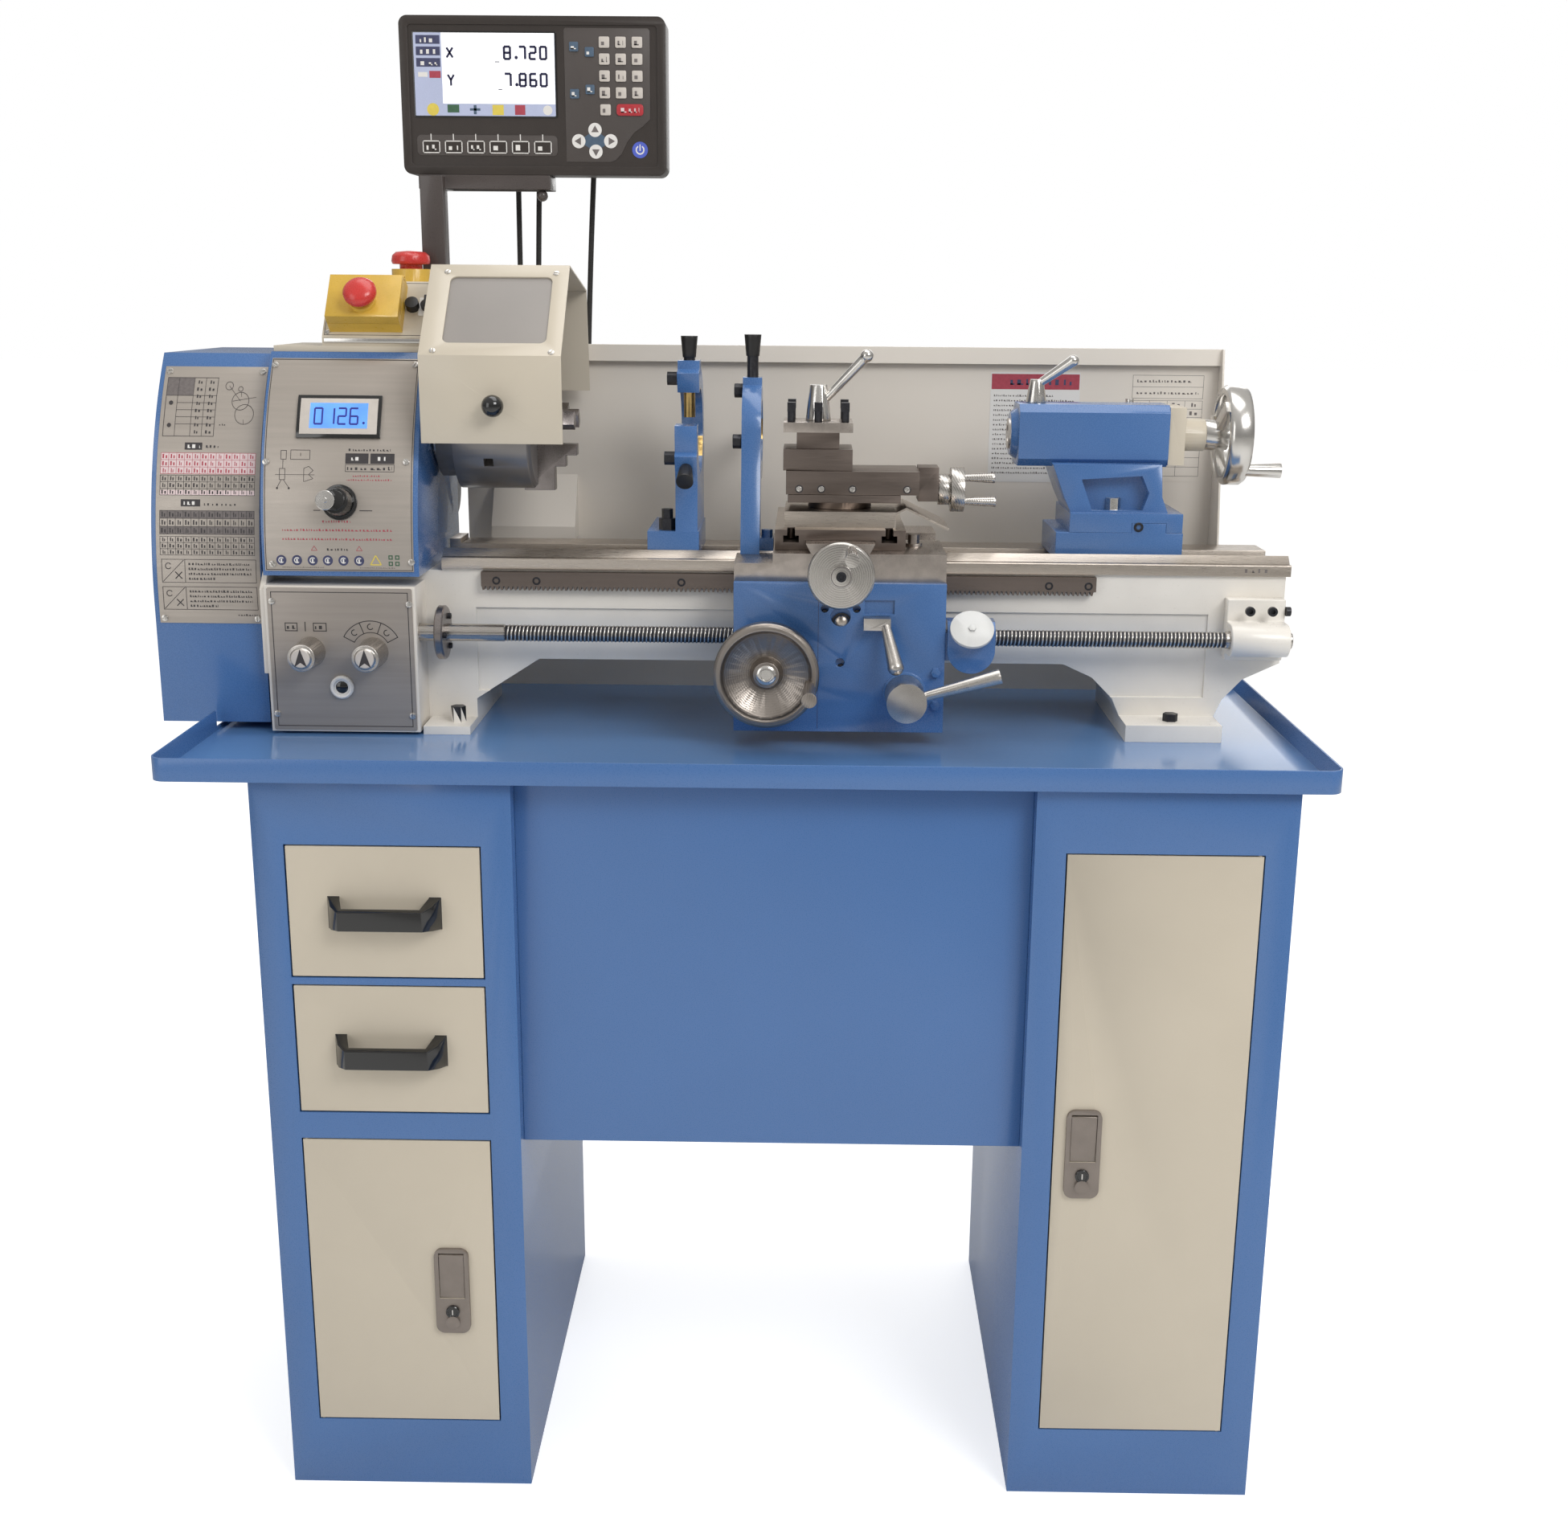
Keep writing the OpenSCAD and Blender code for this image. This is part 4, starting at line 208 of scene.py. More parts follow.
def lathe_rings(tree, source, axis, centre, pitch):
    """Fine rings about an axis through a centre, pitch mm apart."""
    shift = tree.nodes.new("ShaderNodeMapping")
    shift.vector_type = "TEXTURE"
    shift.inputs["Location"].default_value = [v * MM for v in centre]
    link(tree, source, "Object", shift, "Vector")
    rings = tree.nodes.new("ShaderNodeTexWave")
    rings.wave_type = "RINGS"
    rings.rings_direction = axis
    rings.inputs["Scale"].default_value = 1.0 / (pitch * MM * 20)
    rings.inputs["Distortion"].default_value = 1.5
    rings.inputs["Detail"].default_value = 3
    link(tree, shift, "Vector", rings, "Vector")
    return rings


def spread(tree, grain, low_value, high_value):
    """The grain's height spread over a range of values."""
    reach = tree.nodes.new("ShaderNodeMapRange")
    reach.inputs["From Min"].default_value = 0.3
    reach.inputs["From Max"].default_value = 0.7
    reach.inputs["To Min"].default_value = low_value
    reach.inputs["To Max"].default_value = high_value
    link(tree, grain, "Fac", reach, "Value")
    return reach


def finish(name, colour, gloss, metal=0.0, mottle=0.04, cloud=60, grain=0.6, stretch=(1, 1, 1), depth=0.05,
           coat=0.0, turned=None, alpha=1.0, glow=0.0):
    """A surface finish. gloss is its roughness, mottle how far its colour wanders over clouds of a size in
    mm, grain and depth the size and strength of its relief, turned the axis and centre of its rings."""
    skin = bpy.data.materials.new(name)
    skin.use_nodes = True
    tree = skin.node_tree
    shader = tree.nodes["Principled BSDF"]
    source = tree.nodes.new("ShaderNodeTexCoord")
    mix = tree.nodes.new("ShaderNodeMix")
    mix.data_type = "RGBA"
    mix.inputs["A"].default_value = [c * (1 - mottle) for c in colour] + [1]
    mix.inputs["B"].default_value = [min(1, c * (1 + mottle)) for c in colour] + [1]
    link(tree, spread(tree, noise(tree, source, cloud, stretch), 0, 1), "Result", mix, "Factor")
    link(tree, mix, "Result", shader, "Base Color")
    fine = lathe_rings(tree, source, *turned, grain) if turned else noise(tree, source, grain, stretch, 2.0)
    link(tree, spread(tree, fine, gloss * 0.8, min(1, gloss * 1.25)), "Result", shader, "Roughness")
    bump = tree.nodes.new("ShaderNodeBump")
    bump.inputs["Strength"].default_value = depth
    bump.inputs["Distance"].default_value = 0.0006
    link(tree, fine, "Fac", bump, "Height")
    link(tree, bump, "Normal", shader, "Normal")
    shader.inputs["Metallic"].default_value = metal
    shader.inputs["Coat Weight"].default_value = coat
    shader.inputs["Coat Roughness"].default_value = 0.12
    shader.inputs["Alpha"].default_value = alpha
    if glow:
        shader.inputs["Emission Color"].default_value = (*colour, 1)
        shader.inputs["Emission Strength"].default_value = glow
    return skin


def steel(name, colour, gloss, **more):
    """A bare metal finish."""
    return finish(name, colour, gloss, 1.0, **more)


def ink(name, colour, gloss=0.5, mottle=0.1, cloud=4, depth=0.03):
    """A flat printed or lit colour."""
    return finish(name, colour, gloss, mottle=mottle, cloud=cloud, depth=depth)


ALONG_X = (30, 1, 1)
ALONG_Y = (1, 30, 1)
ABOUT_SPINDLE = ("X", (0, AXIS_Y, AXIS_Z))
ABOUT_APRON_WHEEL = ("Y", tuple(middle("apron_handwheel")))
ABOUT_CROSS_WHEEL = ("Y", tuple(middle("cross_handwheel")))
FINISH = {
    "floor": finish("floor", (0.92, 0.92, 0.91), 0.55, mottle=0.01, cloud=900, depth=0.02),
    "blue": finish("blue_enamel", (0.066, 0.166, 0.40), 0.30, coat=0.35, mottle=0.03, cloud=240, grain=0.9,
                   depth=0.03),
    # The tray floor's finish is a lighter blue than the cabinets: painted light, standing for reflections on
    # the glossy floor.
    "tray": finish("tray_enamel", (0.115, 0.25, 0.51), 0.20, coat=0.7, mottle=0.05, cloud=260, grain=2.6,
                   depth=0.03),
    "cast_blue": finish("blue_casting", (0.062, 0.160, 0.385), 0.27, coat=0.5, mottle=0.02, cloud=220,
                        grain=1.1, depth=0.02),
    "cream": finish("cream_enamel", (0.60, 0.535, 0.43), 0.36, coat=0.2, mottle=0.03, cloud=160, grain=1.8),
    "bed": finish("bed_enamel", (0.83, 0.79, 0.725), 0.34, coat=0.3, cloud=50, grain=3.5, depth=0.06),
    "sheet": finish("sheet_enamel", (0.80, 0.745, 0.67), 0.38, coat=0.15, mottle=0.03, cloud=200, grain=1.6,
                    depth=0.04),
    "post": finish("post_paint", (0.066, 0.053, 0.049), 0.33, coat=0.3, mottle=0.06, cloud=30, grain=1.2,
                   depth=0.08),
    "motor": finish("motor_paint", (0.045, 0.045, 0.05), 0.42, mottle=0.1, cloud=20, grain=2.5, depth=0.15),
    "ground": steel("ground_steel", (0.55, 0.49, 0.43), 0.30, mottle=0.10, cloud=9, grain=0.5,
                    stretch=ALONG_X, depth=0.12),
    "ground_y": steel("ground_steel_across", (0.46, 0.41, 0.37), 0.30, mottle=0.10, cloud=9, grain=0.5,
                      stretch=ALONG_Y, depth=0.12),
    "turned": steel("turned_steel", (0.52, 0.49, 0.46), 0.26, mottle=0.06, grain=0.4, depth=0.10,
                    turned=ABOUT_SPINDLE),
    "chuck": finish("chuck_steel", (0.25, 0.235, 0.225), 0.40, 0.6, mottle=0.12, grain=0.5, depth=0.12,
                    turned=ABOUT_SPINDLE),
    "jaw": steel("jaw_steel", (0.30, 0.27, 0.26), 0.30, mottle=0.12, cloud=12, grain=0.7, depth=0.12),
    "oxide": steel("dark_oxide", (0.20, 0.165, 0.145), 0.36, mottle=0.14, cloud=14, grain=0.7,
                   stretch=ALONG_X, depth=0.14),
    "screw": steel("bright_screw", (0.62, 0.60, 0.57), 0.26, mottle=0.10, cloud=3, grain=0.3, depth=0.06),
    "black_screw": finish("black_screw", (0.035, 0.035, 0.04), 0.34, 0.6, mottle=0.2, cloud=3, grain=0.4,
                          depth=0.08),
    "alloy": steel("polished_alloy", (0.55, 0.52, 0.485), 0.30, mottle=0.05, cloud=12, grain=0.5, depth=0.06),
    "apron_wheel": steel("turned_wheel", (0.33, 0.295, 0.265), 0.36, mottle=0.06, grain=0.35, depth=0.12,
                         turned=ABOUT_APRON_WHEEL),
    "cross_wheel": steel("turned_dial", (0.50, 0.475, 0.445), 0.28, mottle=0.05, grain=0.35, depth=0.08,
                         turned=ABOUT_CROSS_WHEEL),
    "thread": steel("thread_ridge", (0.60, 0.58, 0.55), 0.24, mottle=0.10, cloud=5, grain=0.5),
    "chrome": steel("chrome", (0.66, 0.64, 0.61), 0.20, cloud=30, depth=0.03),
    "brass": steel("brass", (0.52, 0.36, 0.14), 0.30, mottle=0.10, cloud=6, grain=0.5, depth=0.08),
    "plate": finish("brushed_plate", (0.43, 0.385, 0.34), 0.38, 0.35, mottle=0.05, cloud=5, grain=0.4,
                    stretch=ALONG_X, depth=0.10),
    "gear_plate": finish("grey_plate", (0.36, 0.32, 0.285), 0.40, 0.35, mottle=0.05, cloud=6, grain=0.4,
                         stretch=ALONG_X, depth=0.10),
    "black": finish("black_plastic", (0.014, 0.013, 0.013), 0.38, mottle=0.2, cloud=8, grain=0.8, depth=0.18),
    "gloss_black": finish("black_phenolic", (0.006, 0.006, 0.006), 0.09, coat=0.6, mottle=0.1, depth=0.02),
    "readout": finish("readout_case", (0.034, 0.026, 0.022), 0.42, mottle=0.08, cloud=30, grain=0.9,
                      depth=0.16),
    "keypad": finish("keypad_foil", (0.074, 0.062, 0.057), 0.48, cloud=30, grain=0.7, depth=0.08),
    "key": finish("pale_key", (0.60, 0.55, 0.50), 0.42, mottle=0.03, cloud=6, depth=0.06),
    "blue_key": finish("blue_key", (0.075, 0.12, 0.18), 0.42, mottle=0.08, cloud=5, depth=0.06),
    "red_key": finish("red_key", (0.45, 0.03, 0.04), 0.38, mottle=0.06, cloud=6, depth=0.06),
    "yellow": finish("yellow_plastic", (0.66, 0.42, 0.06), 0.32, coat=0.2, mottle=0.06, cloud=20, grain=1.5,
                     depth=0.08),
    "red": finish("red_plastic", (0.60, 0.035, 0.03), 0.28, coat=0.3, mottle=0.06, cloud=14, grain=1.5),
    "window": finish("guard_window", (0.42, 0.39, 0.365), 0.22, mottle=0.02, depth=0.01, alpha=0.62),
    "clear": finish("clear_cap", (0.78, 0.78, 0.76), 0.16, mottle=0.02, cloud=20, depth=0.02, alpha=0.75,
                    coat=0.6),
    "lock": finish("lock_grey", (0.25, 0.215, 0.19), 0.36, 0.55, mottle=0.06, cloud=20, grain=0.9,
                   depth=0.08),
    "rubber": finish("rubber", (0.02, 0.019, 0.018), 0.62, mottle=0.15, cloud=12, grain=1.0, depth=0.15),
    "ink": ink("black_ink", (0.045, 0.04, 0.042)),
    "soft_ink": ink("grey_ink", (0.16, 0.14, 0.135), mottle=0.15, cloud=3),
    "red_ink": ink("red_ink", (0.42, 0.06, 0.09)),
    "pink_ink": ink("pink_ink", (0.72, 0.58, 0.58), 0.45, 0.05, 12),
    "navy_ink": ink("navy_ink", (0.055, 0.06, 0.13), mottle=0.15),
    "amber_ink": ink("amber_ink", (0.75, 0.60, 0.10), 0.45, 0.05),
    "green_ink": ink("green_ink", (0.05, 0.13, 0.07)),
    "white_ink": ink("white_ink", (0.80, 0.78, 0.75), mottle=0.03, cloud=9),
    "paper": ink("white_sheet", (0.80, 0.785, 0.76), 0.45, 0.02, 40),
    "lcd_ink": ink("display_digits", (0.035, 0.045, 0.30), 0.25, 0.05, 60, 0),
    "digits": ink("screen_digits", (0.02, 0.02, 0.07), 0.3, 0.05, 60, 0),
    "screen": finish("lit_screen", (0.93, 0.94, 0.95), 0.25, mottle=0.01, depth=0, glow=0.35),
    "lilac": finish("lit_strip", (0.42, 0.46, 0.62), 0.25, mottle=0.05, cloud=30, depth=0, glow=0.2),
    "lcd": finish("lit_display", (0.10, 0.27, 0.78), 0.2, mottle=0.22, cloud=26, depth=0, glow=0.75),
    "power": finish("power_ring", (0.07, 0.10, 0.42), 0.3, mottle=0.05, depth=0, glow=0.35),
}


# ---------------------------------------------------------------- faces that plates and prints lie on
class Face:
    """A face of the lathe: u runs along it, v up it and h stands off it, all in mm."""

    def __init__(self, at):
        self.at = at


def front_face(y, u0=0, v0=0):
    """An upright front, with u and v measured from (u0, v0)."""
    return Face(lambda u, v, h: Vector((u0 + u, y - h, v0 + v)))


def plane_face(origin, along, up):
    """A flat face from a corner and its two directions."""
    along, up = Vector(along).normalized(), Vector(up).normalized()
    off = along.cross(up)
    return Face(lambda u, v, h: Vector(origin) + along * u + up * v + off * h)


def leaning_face(y0, radius, bend_z, u0=0, v0=0):
    """A front that stands upright to bend_z and then leans back on an arc; u and v are from (u0, v0)."""
    def at(u, v, h):
        z = v0 + v
        lean = math.asin(max(0.0, z - bend_z) / radius)
        y = y0 + radius * (1 - math.cos(lean))
        return Vector((u0 + u, y - h * math.cos(lean), z + h * math.sin(lean)))
    return Face(at)


HEAD_FACE = leaning_face(low("headstock")[1], 345, WAY_TOP - 11, HEAD_LEFT, WAY_TOP)
COVER_FACE = leaning_face(low("gear_cover")[1], 412, TRAY_FLOOR + 132, low("gear_cover")[0] + 9,
                          WAY_TOP + 190)
GEARBOX_FACE = front_face(low("gearbox_housing")[1], HEAD_LEFT, TRAY_FLOOR)
SPLASH_FACE = front_face(AXIS_Y + 138, low("splash_guard")[0], WAY_TOP)
BOX_FRONT = AXIS_Y - 38
BOX_FACE = plane_face((0, BOX_FRONT, low("headstock")[2] + 236), (1, 0, 0), (0, 44, 56))


# ---------------------------------------------------------------- making pieces
def mesh_of(name, parts, round_over=0.0, smooth=40):
    """A smooth mesh from (vertices in mm, faces) with its sharp edges rounded over."""
    vertices, faces = parts
    mesh = bpy.data.meshes.new(name)
    mesh.from_pydata([Vector(v) * MM for v in vertices], [], faces)
    if round_over:
        shape = bmesh.new()
        shape.from_mesh(mesh)
        sharp = [e for e in shape.edges if len(e.link_faces) == 2 and e.calc_face_angle() > math.radians(35)]
        bmesh.ops.bevel(shape, geom=sharp, offset=round_over * MM, segments=2, profile=0.5, affect="EDGES",
                        clamp_overlap=True)
        shape.to_mesh(mesh)
        shape.free()
    mesh.polygons.foreach_set("use_smooth", [True] * len(mesh.polygons))
    mesh.set_sharp_from_angle(angle=math.radians(smooth))
    return mesh


def piece(name, parts, material, body, round_over=0.0, smooth=40):
    """A finished mesh from (vertices in mm, faces) that rides on a body."""
    made = placed(name, mesh_of(name, parts, round_over, smooth))
    made.data.materials.append(FINISH[material])
    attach(made, body)
    return made


def joined(parts):
    """Several (vertices, faces) made one."""
    vertices, faces = [], []
    for some, their in parts:
        start = len(vertices)
        vertices += some
        faces += [tuple(i + start for i in f) for f in their]
    return vertices, faces


def slab(face, outline, h0, h1):
    """A plate with that outline between two heights over a face."""
    n = len(outline)
    vertices = [face.at(u, v, h) for h in (h0, h1) for u, v in outline]
    sides = [(i, (i + 1) % n, n + (i + 1) % n, n + i) for i in range(n)]
    return vertices, [tuple(range(n - 1, -1, -1)), tuple(range(n, 2 * n))] + sides


def bent_slab(face, u0, u1, v0, v1, h0, h1, steps):
    """A plate that follows a leaning face, in steps up it."""
    rows = [v0 + (v1 - v0) * i / steps for i in range(steps + 1)]
    ring = [(v, h1) for v in rows] + [(v, h0) for v in reversed(rows)]
    n = len(ring)
    vertices = [face.at(u, v, h) for u in (u0, u1) for v, h in ring]
    faces = [(i, n + i, n + (i + 1) % n, (i + 1) % n) for i in range(n)]
    for i in range(steps):
        faces.append((i, i + 1, n - 2 - i, n - 1 - i))
        faces.append((n + i, n + n - 1 - i, n + n - 2 - i, n + i + 1))
    return vertices, faces


def polar(u, v, r, angle):
    """The point r away from (u, v), at an angle in degrees."""
    return u + r * math.cos(math.radians(angle)), v + r * math.sin(math.radians(angle))


def box_outline(u0, u1, v0, v1):
    """Outline of a rectangle with square corners."""
    return [(u0, v0), (u1, v0), (u1, v1), (u0, v1)]


def rounded(u0, u1, v0, v1, r, n=5):
    """Outline of a rectangle with round corners."""
    corners = [(u1 - r, v0 + r, -90), (u1 - r, v1 - r, 0), (u0 + r, v1 - r, 90), (u0 + r, v0 + r, 180)]
    return [polar(u, v, r, a + 90 * i / n) for u, v, a in corners for i in range(n + 1)]


def turned_part(profile, centre, axis, sides=48):
    """A turned piece from (radius, distance along the axis) pairs, from the axis and back to it."""
    turn = Vector((0, 0, 1)).rotation_difference(Vector(axis)).to_matrix()
    vertices, faces, rings = [], [], []
    for r, z in profile:
        if r < 1e-6:
            rings.append([len(vertices)] * sides)
            vertices.append(Vector(centre) + turn @ Vector((0, 0, z)))
            continue
        rings.append(list(range(len(vertices), len(vertices) + sides)))
        for k in range(sides):
            vertices.append(Vector(centre) + turn @ Vector((*polar(0, 0, r, 360 * k / sides), z)))
    for under, over in zip(rings, rings[1:]):
        for k in range(sides):
            corners = [under[k], under[(k + 1) % sides], over[(k + 1) % sides], over[k]]
            corner_set = list(dict.fromkeys(corners))
            if len(corner_set) > 2:
                faces.append(tuple(corner_set))
    return vertices, faces


# ---------------------------------------------------------------- prints: flat inked shapes in u and v
def bar(u0, v0, u1, v1):
    """A filled rectangle, cut into short lengths so that it follows a leaning face."""
    steps = max(1, math.ceil(abs(v1 - v0) / 7))
    rows = [v0 + (v1 - v0) * i / steps for i in range(steps + 1)]
    return [box_outline(u0, u1, a, b) for a, b in zip(rows, rows[1:])]


def stroke(a, b, w):
    """A straight line of width w."""
    d = Vector((b[0] - a[0], b[1] - a[1]))
    across = Vector((-d.y, d.x)).normalized() * w / 2
    return [[(a[0] - across.x, a[1] - across.y), (b[0] - across.x, b[1] - across.y),
             (b[0] + across.x, b[1] + across.y), (a[0] + across.x, a[1] + across.y)]]


def path(points, w):
    """Straight lines of width w from point to point."""
    return [shape for a, b in zip(points, points[1:]) for shape in stroke(a, b, w)]


def border(u0, v0, u1, v1, w):
    """The outline of a rectangle, w wide."""
    level = bar(u0, v0, u1, v0 + w) + bar(u0, v1 - w, u1, v1)
    return level + bar(u0, v0, u0 + w, v1) + bar(u1 - w, v0, u1, v1)


def grid(u0, v0, u1, v1, columns, rows, w):
    """A border ruled into columns and rows."""
    lines = border(u0, v0, u1, v1, w)
    for i in range(1, columns):
        u = u0 + (u1 - u0) * i / columns
        lines += bar(u - w / 2, v0, u + w / 2, v1)
    for i in range(1, rows):
        v = v0 + (v1 - v0) * i / rows
        lines += bar(u0, v - w / 2, u1, v + w / 2)
    return lines


def ring(u, v, r0, r1, start=0, end=360, n=20):
    """A ring or an arc of one."""
    angles = [start + (end - start) * i / n for i in range(n + 1)]
    return [[polar(u, v, r0, a), polar(u, v, r1, a), polar(u, v, r1, b), polar(u, v, r0, b)]
            for a, b in zip(angles, angles[1:])]


def disc(u, v, r, n=20):
    """A filled circle with n corners."""
    return [[polar(u, v, r, 360 * i / n) for i in range(n)]]


def marks(u0, v0, u1, height, seed, gap=0.6):
    """A row of short strokes that stands for a line of small print."""
    dice = random.Random(seed)
    shapes, u = [], u0
    while u < u1 - 0.6:
        w = min(dice.uniform(0.5, 1.5) * height, u1 - u)
        tall = dice.uniform(0.55, 1.0) * height
        shapes += bar(u, v0, u + w * 0.55, v0 + tall)
        if dice.random() < 0.5:
            shapes += bar(u, v0, u + w * 0.9, v0 + height * 0.22)
        u += w + gap * height * 0.6
    return shapes


def cells(u0, v0, u1, v1, columns, rows, seed, fill=0.45):
    """A small figure in each cell of a table."""
    dice = random.Random(seed)
    shapes = []
    for i in range(columns):
        for k in range(rows):
            u = u0 + (u1 - u0) * (i + 0.5) / columns
            v = v0 + (v1 - v0) * (k + 0.5) / rows
            w = (u1 - u0) / columns * fill * dice.uniform(0.5, 1)
            h = (v1 - v0) / rows * fill * 0.5
            shapes += bar(u - w / 2, v - h, u - w / 6, v + h) + bar(u + w / 6, v - h, u + w / 2, v + h * 0.4)
    return shapes


def table(u0, v0, u1, v1, columns, rows, seed):
    """A ruled table with its figures."""
    return grid(u0, v0, u1, v1, columns, rows, 0.4) + cells(u0, v0, u1, v1, columns, rows, seed, 0.6)


SEGMENTS = {"0": "abcdef", "1": "bc", "2": "abged", "3": "abgcd", "4": "fgbc", "5": "afgcd", "6": "afgedc",
            "7": "abc", "8": "abcdefg", "9": "gfabcd", ".": "."}
SEGMENT_ENDS = {"a": (0, 2, 1, 2), "b": (1, 1, 1, 2), "c": (1, 0, 1, 1), "d": (0, 0, 1, 0),
                "e": (0, 0, 0, 1), "f": (0, 1, 0, 2), "g": (0, 1, 1, 1)}


def numerals(text, u, v, height, w, pitch=1.55):
    """Figures of seven straight segments, with their lower left corner at (u, v)."""
    shapes, wide = [], height * 0.52
    for figure in text:
        for side in SEGMENTS[figure]:
            if side == ".":
                shapes += disc(u + wide * 0.25, v + w * 0.6, w * 0.75, 10)
                continue
            a, b, c, d = SEGMENT_ENDS[side]
            shapes += stroke((u + a * wide, v + b * height / 2), (u + c * wide, v + d * height / 2), w)
        u += wide * (0.75 if figure == "." else pitch)
    return shapes


def printed(name, face, shapes, material, body, h=0.12):
    """One sheet of ink: all shapes of one colour on one face."""
    vertices, faces = [], []
    for shape in shapes:
        area = sum(a[0] * b[1] - b[0] * a[1] for a, b in zip(shape, shape[1:] + shape[:1]))
        ordered = shape if area > 0 else shape[::-1]
        faces.append(tuple(range(len(vertices), len(vertices) + len(ordered))))
        vertices += [face.at(u, v, h) for u, v in ordered]
    return piece(name, (vertices, faces), material, body)


# ---------------------------------------------------------------- geometry nodes: what repeats
def new_tree(name, inputs):
    """A geometry tree with labelled inputs of given kinds and values."""
    tree = bpy.data.node_groups.new(name, "GeometryNodeTree")
    tree.interface.new_socket("Geometry", in_out="INPUT", socket_type="NodeSocketGeometry")
    for label, kind, value in inputs:
        socket = tree.interface.new_socket(label, in_out="INPUT", socket_type="NodeSocket" + kind)
        if value is not None:
            socket.default_value = value
    tree.interface.new_socket("Geometry", in_out="OUTPUT", socket_type="NodeSocketGeometry")
    return tree, tree.nodes.new("NodeGroupInput"), tree.nodes.new("NodeGroupOutput")


def end_tree(tree, source, output, given, out):
    """Ends a tree in real geometry with its material."""
    real = tree.nodes.new("GeometryNodeRealizeInstances")
    paint = tree.nodes.new("GeometryNodeSetMaterial")
    link(tree, source, output, real, "Geometry")
    link(tree, real, "Geometry", paint, "Geometry")
    link(tree, given, "Material", paint, "Material")
    link(tree, paint, "Geometry", out, "Geometry")


def pattern_tree():
    """A head on each point, turned to face the point's direction and spun by a seeded amount."""
    tree, given, out = new_tree("pattern", [
        ("Head", "Object", None), ("Size", "Float", 1.0), ("Spin", "Float", 0.0), ("Seed", "Int", 7),
        ("Material", "Material", None)])
    new = tree.nodes.new
    facing = new("GeometryNodeInputNamedAttribute")
    facing.data_type = "FLOAT_VECTOR"
    facing.inputs["Name"].default_value = "facing"
    turn = new("FunctionNodeAlignRotationToVector")
    turn.axis = "Z"
    link(tree, facing, "Attribute", turn, "Vector")
    chance = new("FunctionNodeRandomValue")
    chance.data_type = "FLOAT"
    chance.inputs["Min"].default_value = 0.0
    link(tree, given, "Spin", chance, 3)
    link(tree, given, "Seed", chance, "Seed")
    spin = new("FunctionNodeAxisAngleToRotation")
    link(tree, chance, 1, spin, "Angle")
    both = new("FunctionNodeRotateRotation")
    both.rotation_space = "LOCAL"
    link(tree, turn, "Rotation", both, "Rotation")
    link(tree, spin, "Rotation", both, "Rotate By")
    head = new("GeometryNodeObjectInfo")
    link(tree, given, "Head", head, "Object")
    place = new("GeometryNodeInstanceOnPoints")
    link(tree, given, "Geometry", place, "Points")
    link(tree, head, "Geometry", place, "Instance")
    link(tree, both, "Rotation", place, "Rotation")
    link(tree, given, "Size", place, "Scale")
    end_tree(tree, place, "Instances", given, out)
    return tree


def thread_tree():
    """A ridge wound round the Z axis as a screw thread."""
    tree, given, out = new_tree("thread", [
        ("Radius", "Float", 0.008), ("Turns", "Float", 10.0), ("Length", "Float", 0.1),
        ("Ridge", "Float", 0.001), ("Material", "Material", None)])
    new = tree.nodes.new
    helix = new("GeometryNodeCurveSpiral")
    helix.inputs["Resolution"].default_value = 16
    for given_name, socket in (("Turns", "Rotations"), ("Radius", "Start Radius"), ("Radius", "End Radius"),
                               ("Length", "Height")):
        link(tree, given, given_name, helix, socket)
    section = new("GeometryNodeCurvePrimitiveCircle")
    section.inputs["Resolution"].default_value = 4
    link(tree, given, "Ridge", section, "Radius")
    sweep = new("GeometryNodeCurveToMesh")
    sweep.inputs["Fill Caps"].default_value = True
    link(tree, helix, "Curve", sweep, "Curve")
    link(tree, section, "Curve", sweep, "Profile Curve")
    end_tree(tree, sweep, "Mesh", given, out)
    return tree


def grown(name, base, tree, values):
    """Runs a tree on a base mesh and keeps the result as a plain mesh."""
    holder = placed(name, base)
    work = holder.modifiers.new("work", "NODES")
    work.node_group = tree
    for item in tree.interface.items_tree:
        if item.in_out == "INPUT" and item.name in values:
            work[item.identifier] = values[item.name]
    holder.update_tag()
    mesh = bpy.data.meshes.new_from_object(holder.evaluated_get(bpy.context.evaluated_depsgraph_get()))
    bpy.data.objects.remove(holder)
    return placed(name, mesh)


PATTERN = pattern_tree()
THREAD = thread_tree()
HEADS = {}
ANY_TURN = 6.28


def head(name, parts, round_over=0.0):
    """A small shape for the pattern to repeat, facing +Z at the origin."""
    HEADS[name] = bpy.data.objects.new("head_" + name, mesh_of(name, parts, round_over, 35))


def pattern(name, kind, spots, material, body, size=1.0, spin=0.0, seed=7):
    """Repeats a head at (place, direction) spots, in mm."""
    base = bpy.data.meshes.new(name)
    base.from_pydata([Vector(p) * MM for p, _ in spots], [], [])
    facing = base.attributes.new("facing", "FLOAT_VECTOR", "POINT")
    for spot, (_, direction) in zip(facing.data, spots):
        spot.vector = Vector(direction).normalized()
    source = HEADS[kind]
    if source.name not in bpy.context.scene.collection.objects:
        bpy.context.scene.collection.objects.link(source)
    made = grown(name, base, PATTERN, {"Head": source, "Size": size, "Spin": spin, "Seed": seed,
                                       "Material": FINISH[material]})
    bpy.context.scene.collection.objects.unlink(source)
    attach(made, body)
    return made


def on(face, spots, h=0.0):
    """Spots on a face with the way that the face looks there."""
    return [(face.at(u, v, h), face.at(u, v, h + 1) - face.at(u, v, h)) for u, v in spots]


